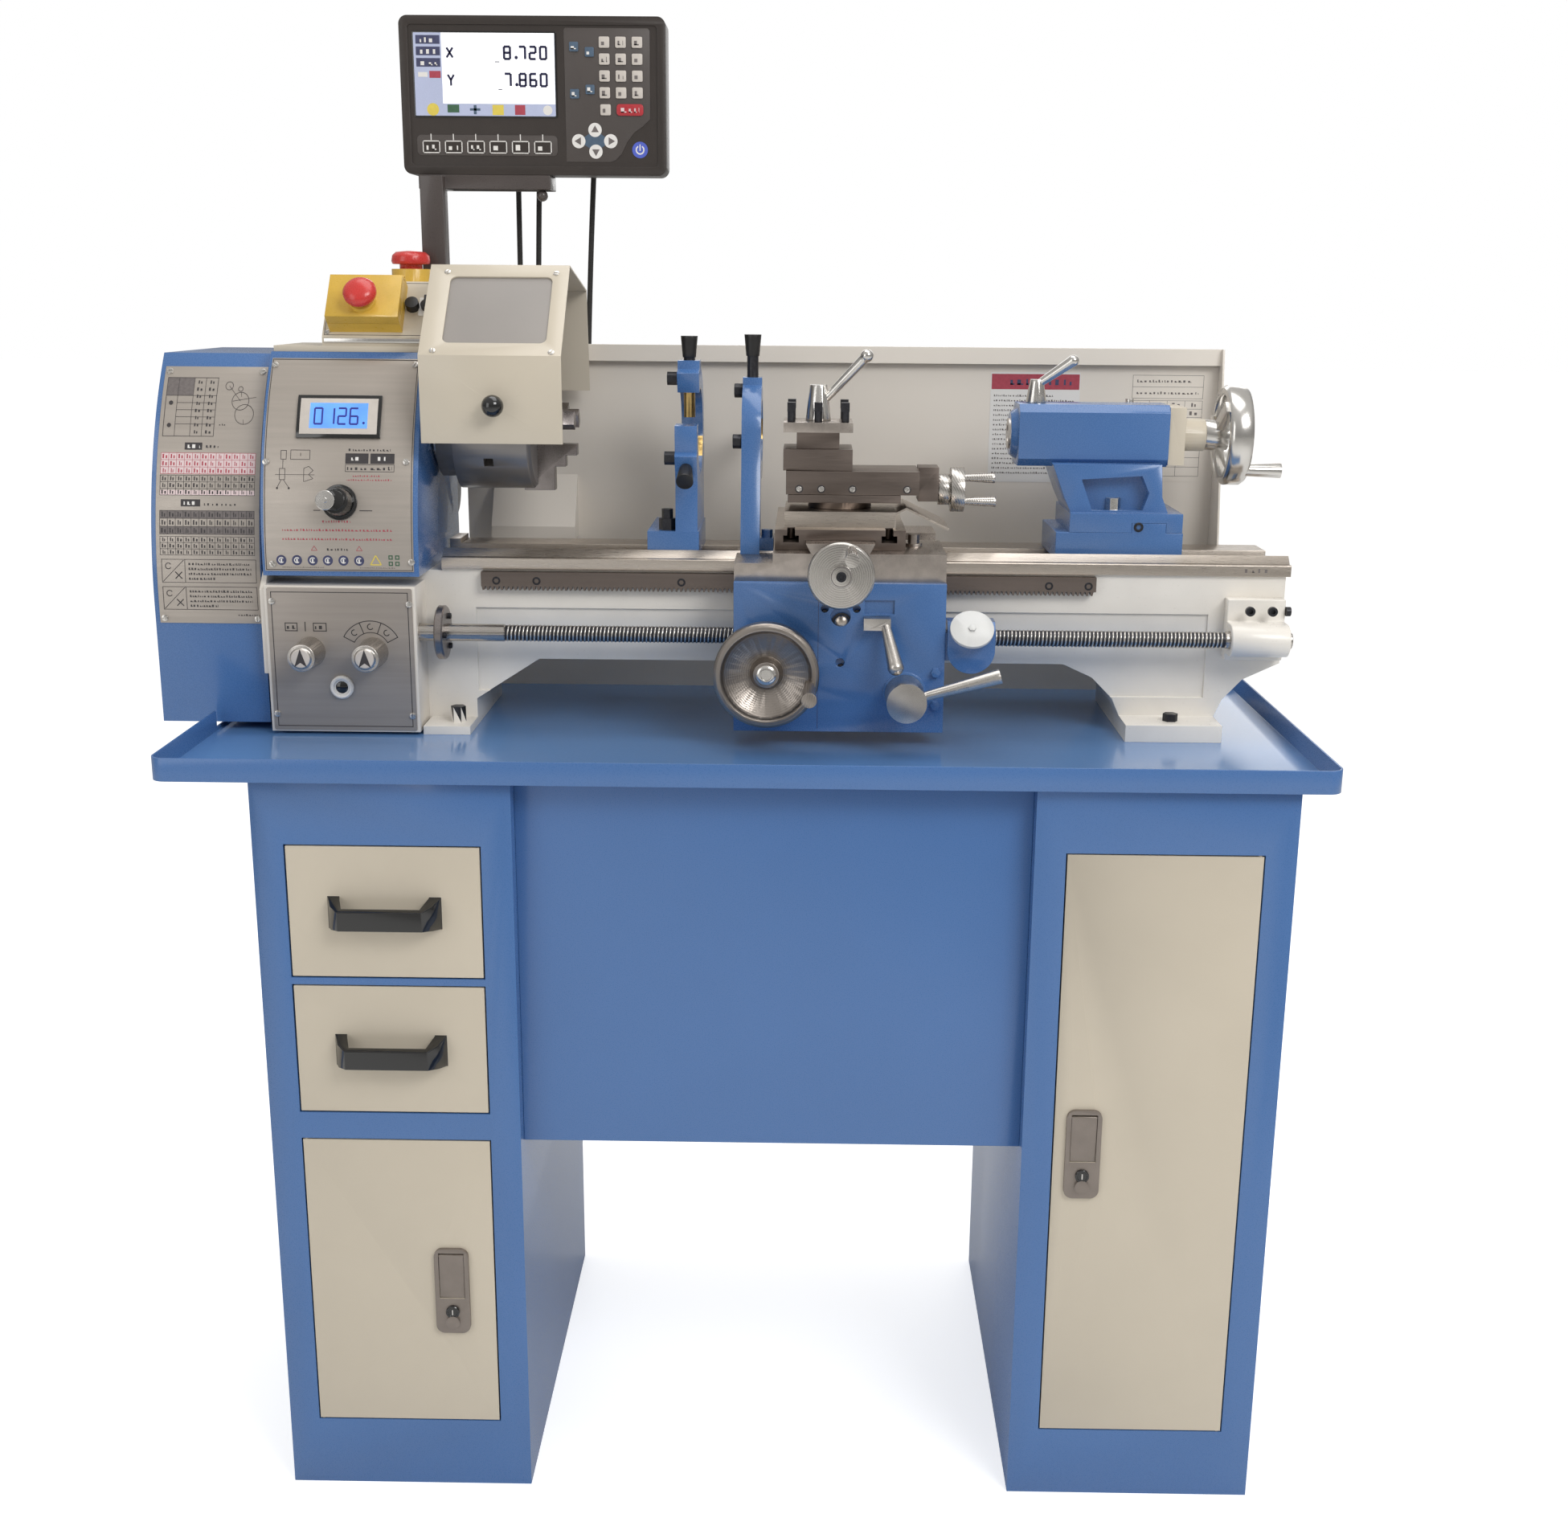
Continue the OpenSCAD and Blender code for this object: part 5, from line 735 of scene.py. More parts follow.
def half_disc(r, slot, side, z0, z1, n=10):
    """One half of a slotted screw head."""
    reach = math.acos(slot / 2 / r)
    angles = [-reach + 2 * reach * i / n for i in range(n + 1)]
    outline = [(r * math.sin(a), side * r * math.cos(a)) for a in angles[::side]]
    count = n + 1
    vertices = [(x, y, z) for z in (z0, z1) for x, y in outline]
    sides = [((i + 1) % count, i, count + i, count + (i + 1) % count) for i in range(count)]
    return vertices, [tuple(range(count)), tuple(range(2 * count - 1, count - 1, -1))] + sides


def hex_reach(angle, across):
    """Distance from the centre to a hexagon's side at an angle in degrees."""
    return across / 2 / math.cos(math.radians(angle % 60 - 30))


def socket_head(r, height, across, deep, sides=24):
    """A cap screw with a hexagon recess."""
    angles = [360 * k / sides for k in range(sides)]
    vertices = [(*polar(0, 0, reach, a), z)
                for reach, z in ((r, 0), (r, height - 0.5), (r - 0.5, height)) for a in angles]
    vertices += [(*polar(0, 0, hex_reach(a, across), a), z) for z in (height, height - deep) for a in angles]
    faces = [tuple(range(sides - 1, -1, -1)), tuple(range(4 * sides, 5 * sides))]
    for start in range(0, 4 * sides, sides):
        for k in range(sides):
            n = (k + 1) % sides
            faces.append((start + k, start + n, start + sides + n, start + sides + k))
    return vertices, faces


def make_heads():
    """The screws and keys that the patterns repeat."""
    origin, up = (0, 0, 0), (0, 0, 1)
    base = turned_part([(0, 0), (3.4, 0), (3.4, 0.8), (0, 0.8)], origin, up, 24)
    head("slotted", joined([base] + [half_disc(3.2, 0.9, side, 0.7, 1.9) for side in (1, -1)]), 0.25)
    head("socket", socket_head(4.5, 4.5, 4.4, 3))
    head("dome", turned_part([(0, 0), (3, 0), (2.9, 0.7), (2.2, 1.5), (1.1, 1.95), (0, 2.1)], origin, up, 20))
    flat = plane_face(origin, (1, 0, 0), (0, 1, 0))
    head("key", slab(flat, rounded(-5.6, 5.6, -5.6, 5.6, 1.4, 3), 0, 1.5), 0.35)


# ---------------------------------------------------------------- the modelled nodes' own finishes
EASED = {}


def dress(node, material, areas=(), ease=0.5):
    """Gives a modelled node its finish, other finishes for some of its areas, and eased edges.
    An area is a finish and a test on a face's middle and normal, in mm."""
    shown = nodes[node]
    mesh = shown.data
    mesh.materials.clear()
    mesh.materials.append(FINISH[material])
    for count, (other, inside) in enumerate(areas):
        mesh.materials.append(FINISH[other])
        for polygon in mesh.polygons:
            if inside(polygon.center / MM, polygon.normal):
                polygon.material_index = count + 1
    if ease:
        EASED[node] = ease


def ease_edges():
    """Rounds the sharp edges of the dressed nodes. It comes last, so that nothing is worked out twice."""
    for node, width in EASED.items():
        shown = nodes[node]
        weld = shown.modifiers.new("weld", "WELD")
        weld.merge_threshold = 2e-6
        plain = shown.modifiers.new("plain", "DECIMATE")
        plain.decimate_type = "DISSOLVE"
        plain.angle_limit = math.radians(0.6)
        plain.delimit = {"MATERIAL"}
        edge = shown.modifiers.new("ease", "BEVEL")
        edge.width = width * MM
        edge.segments = 2
        edge.limit_method = "ANGLE"
        edge.angle_limit = math.radians(38)
        edge.harden_normals = True
        shown.data.polygons.foreach_set("use_smooth", [True] * len(shown.data.polygons))


def within(x=None, y=None, z=None):
    """A test for an area: the face's middle lies in these ranges."""
    def inside(p, n):
        return all(r is None or r[0] <= v <= r[1] for r, v in zip((x, y, z), p))
    return inside


# ---------------------------------------------------------------- cabinets, tray and splash guard
def floor_sheen_faces(p, n):
    """A test for the tray's floor, whose lighter blue is painted light: the sheen of reflections on it."""
    return n.z > 0.9 and p.z < TRAY_FLOOR + 3


def dress_stand():
    """Cabinets with their drawers and doors, the chip tray and the splash guard."""
    for node in ("left_cabinet", "right_cabinet", "centre_panel"):
        dress(node, "blue", ease=1.0)
    # The tray's floor gets the lighter finish as painted light, the sheen of reflections on it.
    dress("chip_tray", "blue", [("tray", floor_sheen_faces)], ease=1.2)
    proud = within(y=(CABINET_FRONT - 60, CABINET_FRONT - 0.3))
    for node in ("drawer_1", "drawer_2"):
        dress(node, "cream", [("gloss_black", proud)], ease=0.8)
    for node in ("left_door", "right_door"):
        dress(node, "cream", [("lock", proud)], ease=0.8)
    for node in ("left_latch", "right_latch"):
        dress(node, "lock", ease=0.8)
        key_lock(node)
    dress("splash_guard", "sheet", ease=0)
    notice_sheet()
    chart_sheet()


def key_lock(latch):
    """A key cylinder with its slot under the paddle of a door's lock."""
    door = latch.replace("latch", "door")
    x, z = middle(latch)[0], low(latch)[2] - 15
    y = CABINET_FRONT - 4
    profile = [(0, 0), (7, 0), (7, 2.2), (6.4, 2.8), (5, 2.8), (4.6, 2.3), (0, 2.3)]
    piece(door + "_key_cylinder", turned_part(profile, (x, y, z), (0, -1, 0)), "gloss_black", door)
    slot = slab(front_face(y - 2.3, x, z), rounded(-0.6, 0.6, -3, 3, 0.5, 2), 0, 0.3)
    piece(door + "_key_slot", slot, "screw", door)


def notice_sheet():
    """A printed notice on the splash guard: a red header over lines of small print."""
    u0, u1, v0, v1 = 597, 698, 62, 185
    piece("notice_sheet", slab(SPLASH_FACE, box_outline(u0, u1, v0, v1), 0, 0.3), "paper", "machine")
    printed("notice_header", SPLASH_FACE, bar(u0 + 1, v1 - 19, u1 - 1, v1 - 2), "red_ink", "machine", 0.4)
    printed("notice_words", SPLASH_FACE, marks(u0 + 22, v1 - 14, u1 - 8, 7, 3), "navy_ink", "machine", 0.5)
    lines = []
    for i in range(17):
        lines += marks(u0 + 4, v1 - 27 - i * 5.4, u1 - (6 if i % 3 else 30), 2.2, 40 + i, 0.3)
    printed("notice_lines", SPLASH_FACE, lines, "soft_ink", "machine", 0.4)


def chart_sheet():
    """A printed chart on the splash guard: three ruled tables."""
    u0, u1, v0, v1 = 757, 837, 64, 183
    chart = grid(u0, v1 - 26, u1, v1, 1, 2, 0.4) + grid(u0, v1 - 56, u1, v1 - 28, 4, 3, 0.4)
    chart += grid(u0, v0 + 6, u1, v1 - 60, 3, 5, 0.4) + cells(u0, v1 - 56, u1, v1 - 28, 4, 3, 5)
    chart += marks(u0 + 5, v1 - 8, u1 - 12, 3, 8) + marks(u0 + 5, v1 - 21, u1 - 5, 3, 9)
    sheet = box_outline(u0 - 2, u1 + 2, v0, v1 + 2)
    piece("chart_sheet", slab(SPLASH_FACE, sheet, 0, 0.2), "sheet", "machine")
    printed("chart_lines", SPLASH_FACE, chart, "soft_ink", "machine", 0.3)


# ---------------------------------------------------------------- bed, rack and leadscrew
def dress_bed():
    """Bed with its ground ways, the rack and the leadscrew's end bracket, with their screws."""
    ways = within(z=(WAY_TOP - 12.2, WAY_TOP + 30))
    bolts = within(y=(AXIS_Y - 126, AXIS_Y - 86), z=(TRAY_FLOOR + 18.2, TRAY_FLOOR + 30))
    dress("bed", "bed", [("ground", ways), ("black_screw", bolts)], ease=0.8)
    dress("rack", "oxide", ease=0)
    dress("leadscrew_bracket", "bed", ease=1.2)
    rack_front = front_face(low("rack")[1], low("rack")[0], WAY_TOP - 23)
    spots = on(rack_front, [(u, 0) for u in (16, 58, 209, 591, 632)], -4.2)
    pattern("rack_screws", "socket", spots, "black_screw", "machine")
    way_front = front_face(AXIS_Y - 80, high("bed")[0], WAY_TOP)
    printed("bed_stamps", way_front, marks(-48, -8, -20, 4.5, 12, 1.2), "soft_ink", "machine", 0.05)
    right, front = high("leadscrew_bracket")[0], low("leadscrew_bracket")[1]
    bracket = front_face(front + 18, right, SCREW_Z)
    spots = on(bracket, [(-40, 30), (-17, 30)], -2.5)
    pattern("bracket_screws", "socket", spots, "black_screw", "machine", size=1.1)
    ends = [((right, front + 32, SCREW_Z + rise), (1, 0, 0)) for rise in (28, -8)]
    pattern("bracket_end_screws", "socket", ends, "black_screw", "machine", size=1.1)
    dress_leadscrew()


def dress_leadscrew():
    """The leadscrew as a turned core with a real thread wound round it; the core under the thread is painted
    black as the shade in the grooves between the ridges.
    """
    x0, x1 = low("leadscrew")[0], high("leadscrew")[0]
    start, end, r, core = HEAD_RIGHT + 83, low("leadscrew_bracket")[0] - 4, 9.0, 7.8
    centre, along = (0, SCREW_Y, SCREW_Z), (1, 0, 0)
    profile = [(0, x0), (r, x0), (r, start), (core, start + 1), (core, end - 1), (r, end), (r, x1 - 1),
               (r - 1, x1), (0, x1)]
    turned_shaft = turned_part(profile, centre, along, 40)
    shaft = piece("leadscrew_shaft", turned_shaft, "turned", "leadscrew", smooth=30)
    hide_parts("leadscrew")
    # The black core between the thread's ridges is painted shade: the dark of the grooves.
    groove_shade = [(core - 1, start + 1), (core + 0.1, start + 1), (core + 0.1, end - 1), (core - 1, end - 1)]
    piece("thread_root", turned_part(groove_shade, centre, along, 32), "black_screw", "leadscrew", smooth=30)
    near = HEAD_RIGHT + 14
    far = near + 9
    rim = [(r - 1, near), (26.5, near), (28, near + 1.5), (28, far - 1.5), (26.5, far), (r - 1, far)]
    piece("leadscrew_flange", turned_part(rim, centre, along, 48), "jaw", "leadscrew", smooth=30)
    holes = [((far, *polar(SCREW_Y, SCREW_Z, 18, a)), along) for a in (60, 180, 300)]
    wind_thread(Vector((start + 3, SCREW_Y, SCREW_Z)), Vector(along), core + 0.05, end - start - 6)
    pattern("flange_screws", "socket", holes, "black_screw", "leadscrew", size=0.7)


def wind_thread(place, along, radius, length, pitch=4.0, ridge=1.25):
    """The leadscrew's thread, wound from a place along a direction."""
    base = bpy.data.meshes.new("thread")
    base.from_pydata([(0, 0, 0)], [], [])
    wound = grown("leadscrew_thread", base, THREAD, {
        "Radius": radius * MM, "Turns": length / pitch, "Length": length * MM, "Ridge": ridge * MM,
        "Material": FINISH["thread"]})
    turn = Vector((0, 0, 1)).rotation_difference(along).to_matrix().to_4x4()
    wound.data.transform(Matrix.Translation(place * MM) @ turn)
    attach(wound, "leadscrew")


# ---------------------------------------------------------------- headstock plate
def head_plate():
    """The printed plate over the headstock's leaning front."""
    u0, u1, v0, v1 = 3, HEAD_WIDE - 5, -9, 200
    piece("head_plate", bent_slab(HEAD_FACE, u0, u1, v0, v1, 0, 1.2, 28), "plate", "machine", 0.3)
    screws = [(u0 + 4, v1 - 7), (u1 - 4, v1 - 6), (u0 + 2, v0 + 108), (u1 - 7, v0 + 109), (u0 + 8, v0 + 7),
              (u1 - 2, v0 + 10)]
    pattern("head_plate_screws", "slotted", on(HEAD_FACE, screws, 1.0), "screw", "machine", spin=ANY_TURN,
            seed=3)
    level = 1.34
    ink = border(u0 + 1, v0 + 1, u1 - 1, v1 - 1, 0.7) + head_symbols()
    printed("head_plate_ink", HEAD_FACE, ink, "ink", "machine", level)
    red = marks(63, 40, 92, 2.4, 27) + marks(22, 31.4, 134, 2.4, 28) + marks(22, 22.4, 134, 2.2, 29)
    red += marks(94, 85.2, 122, 1.7, 30) + marks(88, 81.4, 134, 1.7, 31)
    for u in (54, 100):
        red += path([(u - 3, 12), (u + 3, 12), (u, 16.6), (u - 3, 12)], 0.5)
    printed("head_plate_red", HEAD_FACE, red, "red_ink", "machine", level)
    spots = [20, 36, 52, 67.5, 83.5, 99.5]
    signs = [s for u in spots for s in disc(u, 2, 5.2)]
    printed("round_signs", HEAD_FACE, signs, "navy_ink", "machine", level)
    white = [s for u in spots for s in ring(u, 2, 2.2, 3.1, 40, 320, 12) + bar(u - 0.8, -0.8, u + 0.8, 3.5)]
    white += marks(92, 101, 102, 4.4, 32) + marks(119, 101, 128, 4.4, 33)
    printed("round_signs_white", HEAD_FACE, white, "white_ink", "machine", level + 0.06)
    amber = path([(111, -2), (122, -2), (116.5, 7.4), (111, -2)], 1.1)
    printed("corner_sign", HEAD_FACE, amber, "amber_ink", "machine", level)
    green = [s for u in (129.5, 136.3) for v in (-3, 3.4) for s in border(u, v, u + 4.4, v + 4.4, 1.1)]
    printed("square_sign", HEAD_FACE, green, "green_ink", "machine", level)
    speed_display(78, 142.5)


def head_symbols():
    """The plate's drive symbols, its two label fields and its small print in black."""
    ink = border(20, 101.5, 26, 110.5, 0.5) + border(30, 101.5, 50, 111, 0.5) + bar(40, 105, 40.6, 108)
    ink += border(19, 81.6, 25, 93, 0.5) + stroke((22.5, 93), (22.5, 101.5), 0.5)
    ink += stroke((15, 86.8), (55, 86.8), 0.4)
    zigzag = [(44, 80), (44, 93), (49, 95), (53.5, 91), (49, 87), (53.5, 83), (44, 80)]
    ink += path(zigzag, 0.5)
    ink += stroke((21, 81.6), (17, 74), 0.5) + stroke((23.5, 81.6), (29, 74), 0.5)
    ink += disc(17, 73.5, 1.1, 10) + disc(29, 73.5, 1.1, 10)
    ink += bar(86, 98, 109.5, 108) + bar(111.5, 98, 136, 108) + border(86, 90, 136, 97.4, 0.5)
    ink += marks(88, 91.8, 109, 3.4, 21) + marks(112, 91.8, 134, 3.4, 22) + marks(89, 110.2, 132, 2.4, 23)
    ink += bar(54, 51.6, 61, 52.4) + bar(101, 51.6, 114, 52.4)
    return ink + marks(67, 12, 89, 2.4, 24) + marks(21, -5.6, 64, 1.0, 25) + marks(100, -5.6, 136, 1.0, 26)


def speed_display(u, v):
    """The lit speed display with its black frame."""
    def layer(name, left, right, down, up, h0, h1, steps, material, round_over=0.0):
        shape = bent_slab(HEAD_FACE, u - left, u + right, v - down, v + up, h0, h1, steps)
        piece("display_" + name, shape, material, "machine", round_over)

    layer("frame", 43, 43, 20.5, 20.5, 1, 4.4, 6, "gloss_black", 0.5)
    layer("bezel", 39.5, 39.5, 17, 17, 4.3, 4.9, 5, "key", 0.15)
    layer("glass", 29.5, 29.5, 11.5, 12.5, 4.8, 5.1, 4, "lcd")
    figures = numerals("0126.", u - 24.5, v - 7.5, 15, 1.8)
    printed("display_figures", HEAD_FACE, figures, "lcd_ink", "machine", 5.2)


# ---------------------------------------------------------------- chart on the gear cover
def cover_chart():
    """The gear chart on the gear cover's curved front; u and v are from its print's upper left corner."""
    wide = high("gear_cover")[0] - low("gear_cover")[0] - 22
    u0, u1, foot = -4, wide + 5, -257
    piece("chart_plate", bent_slab(COVER_FACE, u0, u1, foot, 0, 0, 1.0, 34), "plate", "machine", 0.25)
    corners = on(COVER_FACE, [(u, v) for v in (-5, foot + 5) for u in (u0 + 5, u1 - 5)], 0.8)
    pattern("chart_screws", "slotted", corners, "screw", "machine", spin=ANY_TURN, seed=5)
    level = 1.14
    grey = bar(0, -29, 28, -11) + bar(0, -150, wide, -142) + bar(0, -166, wide, -158)
    printed("chart_shade", COVER_FACE, grey, "soft_ink", "machine", level)
    pink = bar(0, -106, wide, -85) + bar(0.5, -127, wide, -122)
    printed("chart_pink", COVER_FACE, pink, "pink_ink", "machine", level)
    level += 0.06
    ink = gear_train() + bar(24, -82, 42, -75) + marks(46, -80, 60, 2.6, 53)
    ink += table(0, -127, wide, -107, 12, 3, 54) + bar(22, -138, 42, -131) + marks(46, -137, 80, 2.4, 55, 1.4)
    ink += table(0, -166, wide, -142, 12, 3, 56) + table(0, -187, wide, -168, 12, 3, 57)
    ink += warning(-191, wide, 1007) + warning(-219, wide, 979)
    ink += marks(wide - 20, foot + 8, wide + 2, 2.0, 58, 0.3)
    printed("chart_ink", COVER_FACE, ink, "ink", "machine", level)
    printed("chart_red", COVER_FACE, table(0, -106, wide, -85, 12, 3, 59), "red_ink", "machine", level)
    label = marks(27, -80.5, 40, 4, 71) + marks(25, -136.5, 40, 4, 72)
    printed("chart_labels", COVER_FACE, label, "white_ink", "machine", level + 0.06)


def gear_train():
    """The chart's upper part: a small table beside a drawing of the meshed gears."""
    ink = border(0, -69, 53, -11, 0.5) + bar(0, -29, 53, -28.6)
    for v in (-36, -43, -50, -57):
        ink += bar(12, v, 53, v + 0.4)
    for u in (12, 28, 40):
        ink += bar(u, -69, u + 0.4, -11)
    ink += cells(28, -68, 53, -12, 2, 8, 51) + disc(6, -36, 2.2, 10) + disc(6, -58, 2.2, 10)
    for u, v, r in ((78, -34, 9), (83, -47, 10), (65, -19, 4.2), (77, -22, 2.6)):
        ink += ring(u, v, r - 0.5, r, n=28)
    ink += stroke((65, -19), (78, -34), 0.4) + stroke((70, -34), (94, -30), 0.4)
    return ink + stroke((78, -25), (83, -57), 0.4) + marks(58, -58, 66, 1.6, 52)


def warning(top, wide, seed):
    """A framed note at the chart's foot: a sign in a box and four lines of small print."""
    ink = border(1, top - 24, wide + 1, top, 0.5) + bar(25, top - 24, 25.5, top)
    ink += stroke((2, top - 23), (24, top - 1), 0.6)
    ink += ring(8, top - 7, 2.6, 3.4, 30, 330, 10) + stroke((15, top - 20), (22, top - 13), 1.0)
    ink += stroke((22, top - 20), (15, top - 13), 1.0)
    for i in range(4):
        ink += marks(29, top - 6 - i * 5, wide - (4 if i < 3 else 40), 2.4, seed + i, 0.3)
    return ink


# ---------------------------------------------------------------- gearbox front
def gearbox_front():
    """Plate, symbols, scale, oil sight and arrowheads of the feed gearbox."""
    u0, u1, v0, v1 = 3, HEAD_WIDE - 8, 5, WAY_TOP - TRAY_FLOOR - 26
    piece("gear_plate", slab(GEARBOX_FACE, rounded(u0, u1, v0, v1, 2), 0, 1.2), "gear_plate", "machine", 0.3)
    screws = [(u0 + 5, v1 - 14), (u1 - 3, v1 - 16), (u0 + 4, v0 + 17), (u1 - 4, v0 + 16)]
    pattern("gear_plate_screws", "slotted", on(GEARBOX_FACE, screws, 1.0), "screw", "machine", spin=ANY_TURN,
            seed=9)
    knob = middle("feed_knob_right")
    u, v = knob[0] - 2 - HEAD_LEFT, knob[2] + 1 - TRAY_FLOOR
    ink = border(u0 + 4, v0 + 4, u1 - 4, v1 - 4, 0.8)
    ink += border(20, 109, 33, 118, 0.9) + marks(22, 111.4, 31, 4, 81) + bar(40.4, 109, 41.4, 119)
    ink += border(49, 109, 63, 118, 0.9) + marks(51, 111.4, 61, 4, 82)
    ink += ring(u, v, 31, 31.9, 28, 152, 28) + ring(u, v, 19, 19.8, 28, 152, 20)
    for a in (28, 69, 111, 152):
        ink += stroke(polar(u, v, 19, a), polar(u, v, 31.9, a), 0.9)
    for a, turn in ((49, 82), (90, 83), (131, 84)):
        ink += ring(*polar(u, v, 25.4, a), 2.4, 3.4, turn, turn + 250, 12)
    printed("gear_plate_ink", GEARBOX_FACE, ink, "ink", "machine", 1.34)
    sight, out = GEARBOX_FACE.at(76, 51, 1), (0, -1, 0)
    rim = [(0, 0), (12, 0), (12, 3), (10.5, 4.6), (8.6, 4.2), (7.4, 2.2), (0, 2.2)]
    piece("oil_sight_ring", turned_part(rim, sight, out), "white_ink", "machine")
    glass = [(0, 2.1), (6.6, 2.1), (4, 3.4), (0, 3.8)]
    piece("oil_sight_glass", turned_part(glass, sight, out), "gloss_black", "machine")
    for node in ("feed_knob_left", "feed_knob_right"):
        face = front_face(low(node)[1], middle(node)[0], middle(node)[2])
        arrow = [[(0, 10), (-6.4, -8.6), (0, -4)], [(0, 10), (0, -4), (6.4, -8.6)]]
        printed(node + "_arrow", face, arrow, "ink", node, 0.1)


# ---------------------------------------------------------------- headstock, gearbox, cover and control box
def panel_height(p):
    """How far a point stands off the control box's leaning panel."""
    foot = BOX_FACE.at(0, 0, 0)
    return (Vector(p) - foot).dot(BOX_FACE.at(0, 0, 1) - foot)


def dress_head():
    """Headstock with its drive, gear cover, gearbox and control box."""
    knob_seat = within(x=(HEAD_LEFT + 60, HEAD_LEFT + 102), y=(AXIS_Y - 146, AXIS_Y - 103),
                       z=(WAY_TOP + 37, WAY_TOP + 84))
    dress("headstock", "cast_blue", [("black", knob_seat)], ease=1.5)
    dress("gear_cover", "cast_blue", ease=1.5)
    dress("gearbox_housing", "sheet", ease=1.0)
    dress("motor", "motor", ease=0.8)
    dress("drive_belt", "rubber", ease=0)
    dress("motor_pulley", "ground", ease=0.4)
    for node in ("feed_knob_left", "feed_knob_right"):
        front = low(node)[1]
        dress(node, "alloy", [("key", within(y=(front - 1, front + 0.6)))], ease=0.6)
    head_plate()
    cover_chart()
    gearbox_front()
    speed_dial()
    dress_control_box()


def speed_dial():
    """Grip of the speed knob with its bright cap."""
    dress("speed_knob", "gloss_black", ease=0.4)
    u = middle("chuck_guard")[0] - 158 - HEAD_LEFT
    centre, out = HEAD_FACE.at(u, 60, 0), HEAD_FACE.at(u, 60, 1) - HEAD_FACE.at(u, 60, 0)
    cap = [(0, 21), (9.4, 21), (10, 21.6), (10, 22.6), (9.2, 23.2), (2.6, 23.4), (2.2, 23.8), (0, 23.9)]
    piece("speed_cap", turned_part(cap, centre, out, 40), "chrome", "speed_knob", smooth=30)


def dress_control_box():
    """Control box: its panel with the stop button's housing and the switch, outline, screws and trim."""
    left, top = high("control_box")[0] - 113, high("control_box")[2]

    def off_panel(u0, u1):
        """A test for what stands off the panel between two distances from its left end."""
        def inside(p, n):
            return panel_height(p) > 0.4 and u0 < p.x - left < u1 and p.z < top - 0.2
        return inside

    def rear_housing(p, n):
        return p.z > AXIS_Z + 152 and p.y > AXIS_Y + 15

    areas = [("yellow", off_panel(-60, 83.5)), ("yellow", rear_housing), ("black", off_panel(83.5, 99))]
    dress("control_box", "cream", areas, ease=0.8)
    dress("estop_lid", "yellow", ease=0.8)
    dress("estop_button", "red", ease=1.0)
    dress("rear_stop_button", "red", ease=0.8)
    dress("rotary_switch", "black", ease=0.4)
    u0, u1, v1 = left + 2, high("control_box")[0] - 2, 70
    printed("panel_outline", BOX_FACE, border(u0, 2, u1, v1 - 1, 0.6), "ink", "machine", 0.1)
    screws = [(u0 + 3.5, 5.5), (u0 + 3.5, v1 - 6), (u1 - 3.5, 5.5), (u1 - 3.5, v1 - 6)]
    pattern("panel_screws", "slotted", on(BOX_FACE, screws), "screw", "machine", size=0.75, spin=ANY_TURN,
            seed=11)
    x = middle("rotary_switch")[0]
    plate = slab(BOX_FACE, rounded(x - 9, x + 6.5, 27, 50, 1.5), 0, 1.0)
    piece("switch_plate", plate, "white_ink", "machine", 0.3)
    strip = box_outline(u0, u1, 9, 13.5)
    base = front_face(BOX_FRONT, 0, high("headstock")[2])
    piece("box_trim", slab(base, strip, 0, 1.2), "chrome", "machine", 0.4)


# ---------------------------------------------------------------- spindle, chuck and guard
def dress_chuck():
    """Spindle, chuck with its jaws, and the guard over it."""
    dress("spindle", "turned", ease=0.4)
    dress("chuck_body", "chuck", ease=0.8)
    for node in ("chuck_jaw_1", "chuck_jaw_2", "chuck_jaw_3"):
        dress(node, "jaw", ease=0.5)
    dress("guard_window", "window", ease=0)
    dress_guard()


def dress_guard():
    """Chuck guard with its ball knob and the window's four screws."""
    ball = Vector((middle("guard_window")[0], AXIS_Y - 140, AXIS_Z + 32))

    def knob(p, n):
        return (p - ball).length < 13 and p.y < AXIS_Y - 126

    dress("chuck_guard", "cream", [("gloss_black", knob)], ease=0.8)
    back, up, foot = 85, 87, AXIS_Z + 80
    lean = plane_face((0, AXIS_Y - 125, foot), (1, 0, 0), (0, back, up))
    (u0, _, z0), (u1, _, z1) = low("guard_window"), high("guard_window")
    v0, v1 = ((z - foot) * math.hypot(back, up) / up for z in (z0, z1))
    spots = [(u0 + 1, v0 + 2), (u1 - 3, v0 + 1), (u0 + 5, v1 - 3), (u1 - 6, v1 - 4)]
    pattern("window_screws", "slotted", on(lean, spots, -0.1), "screw", "chuck_guard", spin=ANY_TURN, seed=13)


# ---------------------------------------------------------------- carriage, slides and toolpost
def dress_carriage():
    """Saddle, apron, follow rest, slides and toolpost with their levers."""
    dress("saddle", "ground_y", ease=0.8)
    dress_apron()
    dress_rest("follow_rest", (0, 90), 56.2, 78, 34, low("follow_rest")[0] - 0.3)
    follow_clamps()
    dress("cross_slide", "oxide", [("ground", within(z=(WAY_TOP + 36.7, WAY_TOP + 60)))], ease=0.8)
    dress("swivel_base", "oxide", ease=0.5)
    dress_compound()
    top = high("toolpost")[2] - 20
    head_top, stud = within(z=(top - 12, top - 0.03)), within(z=(top - 0.02, top + 100))
    dress("toolpost", "oxide", [("ground_y", head_top), ("black_screw", stud)], ease=0.5)
    dress("toolpost_lever", "chrome", ease=0.3)
    dress("halfnut_lever", "alloy", ease=0.4)
    dress("feed_lever", "alloy", ease=0.4)
    dress("thread_dial", "clear", ease=0.3)


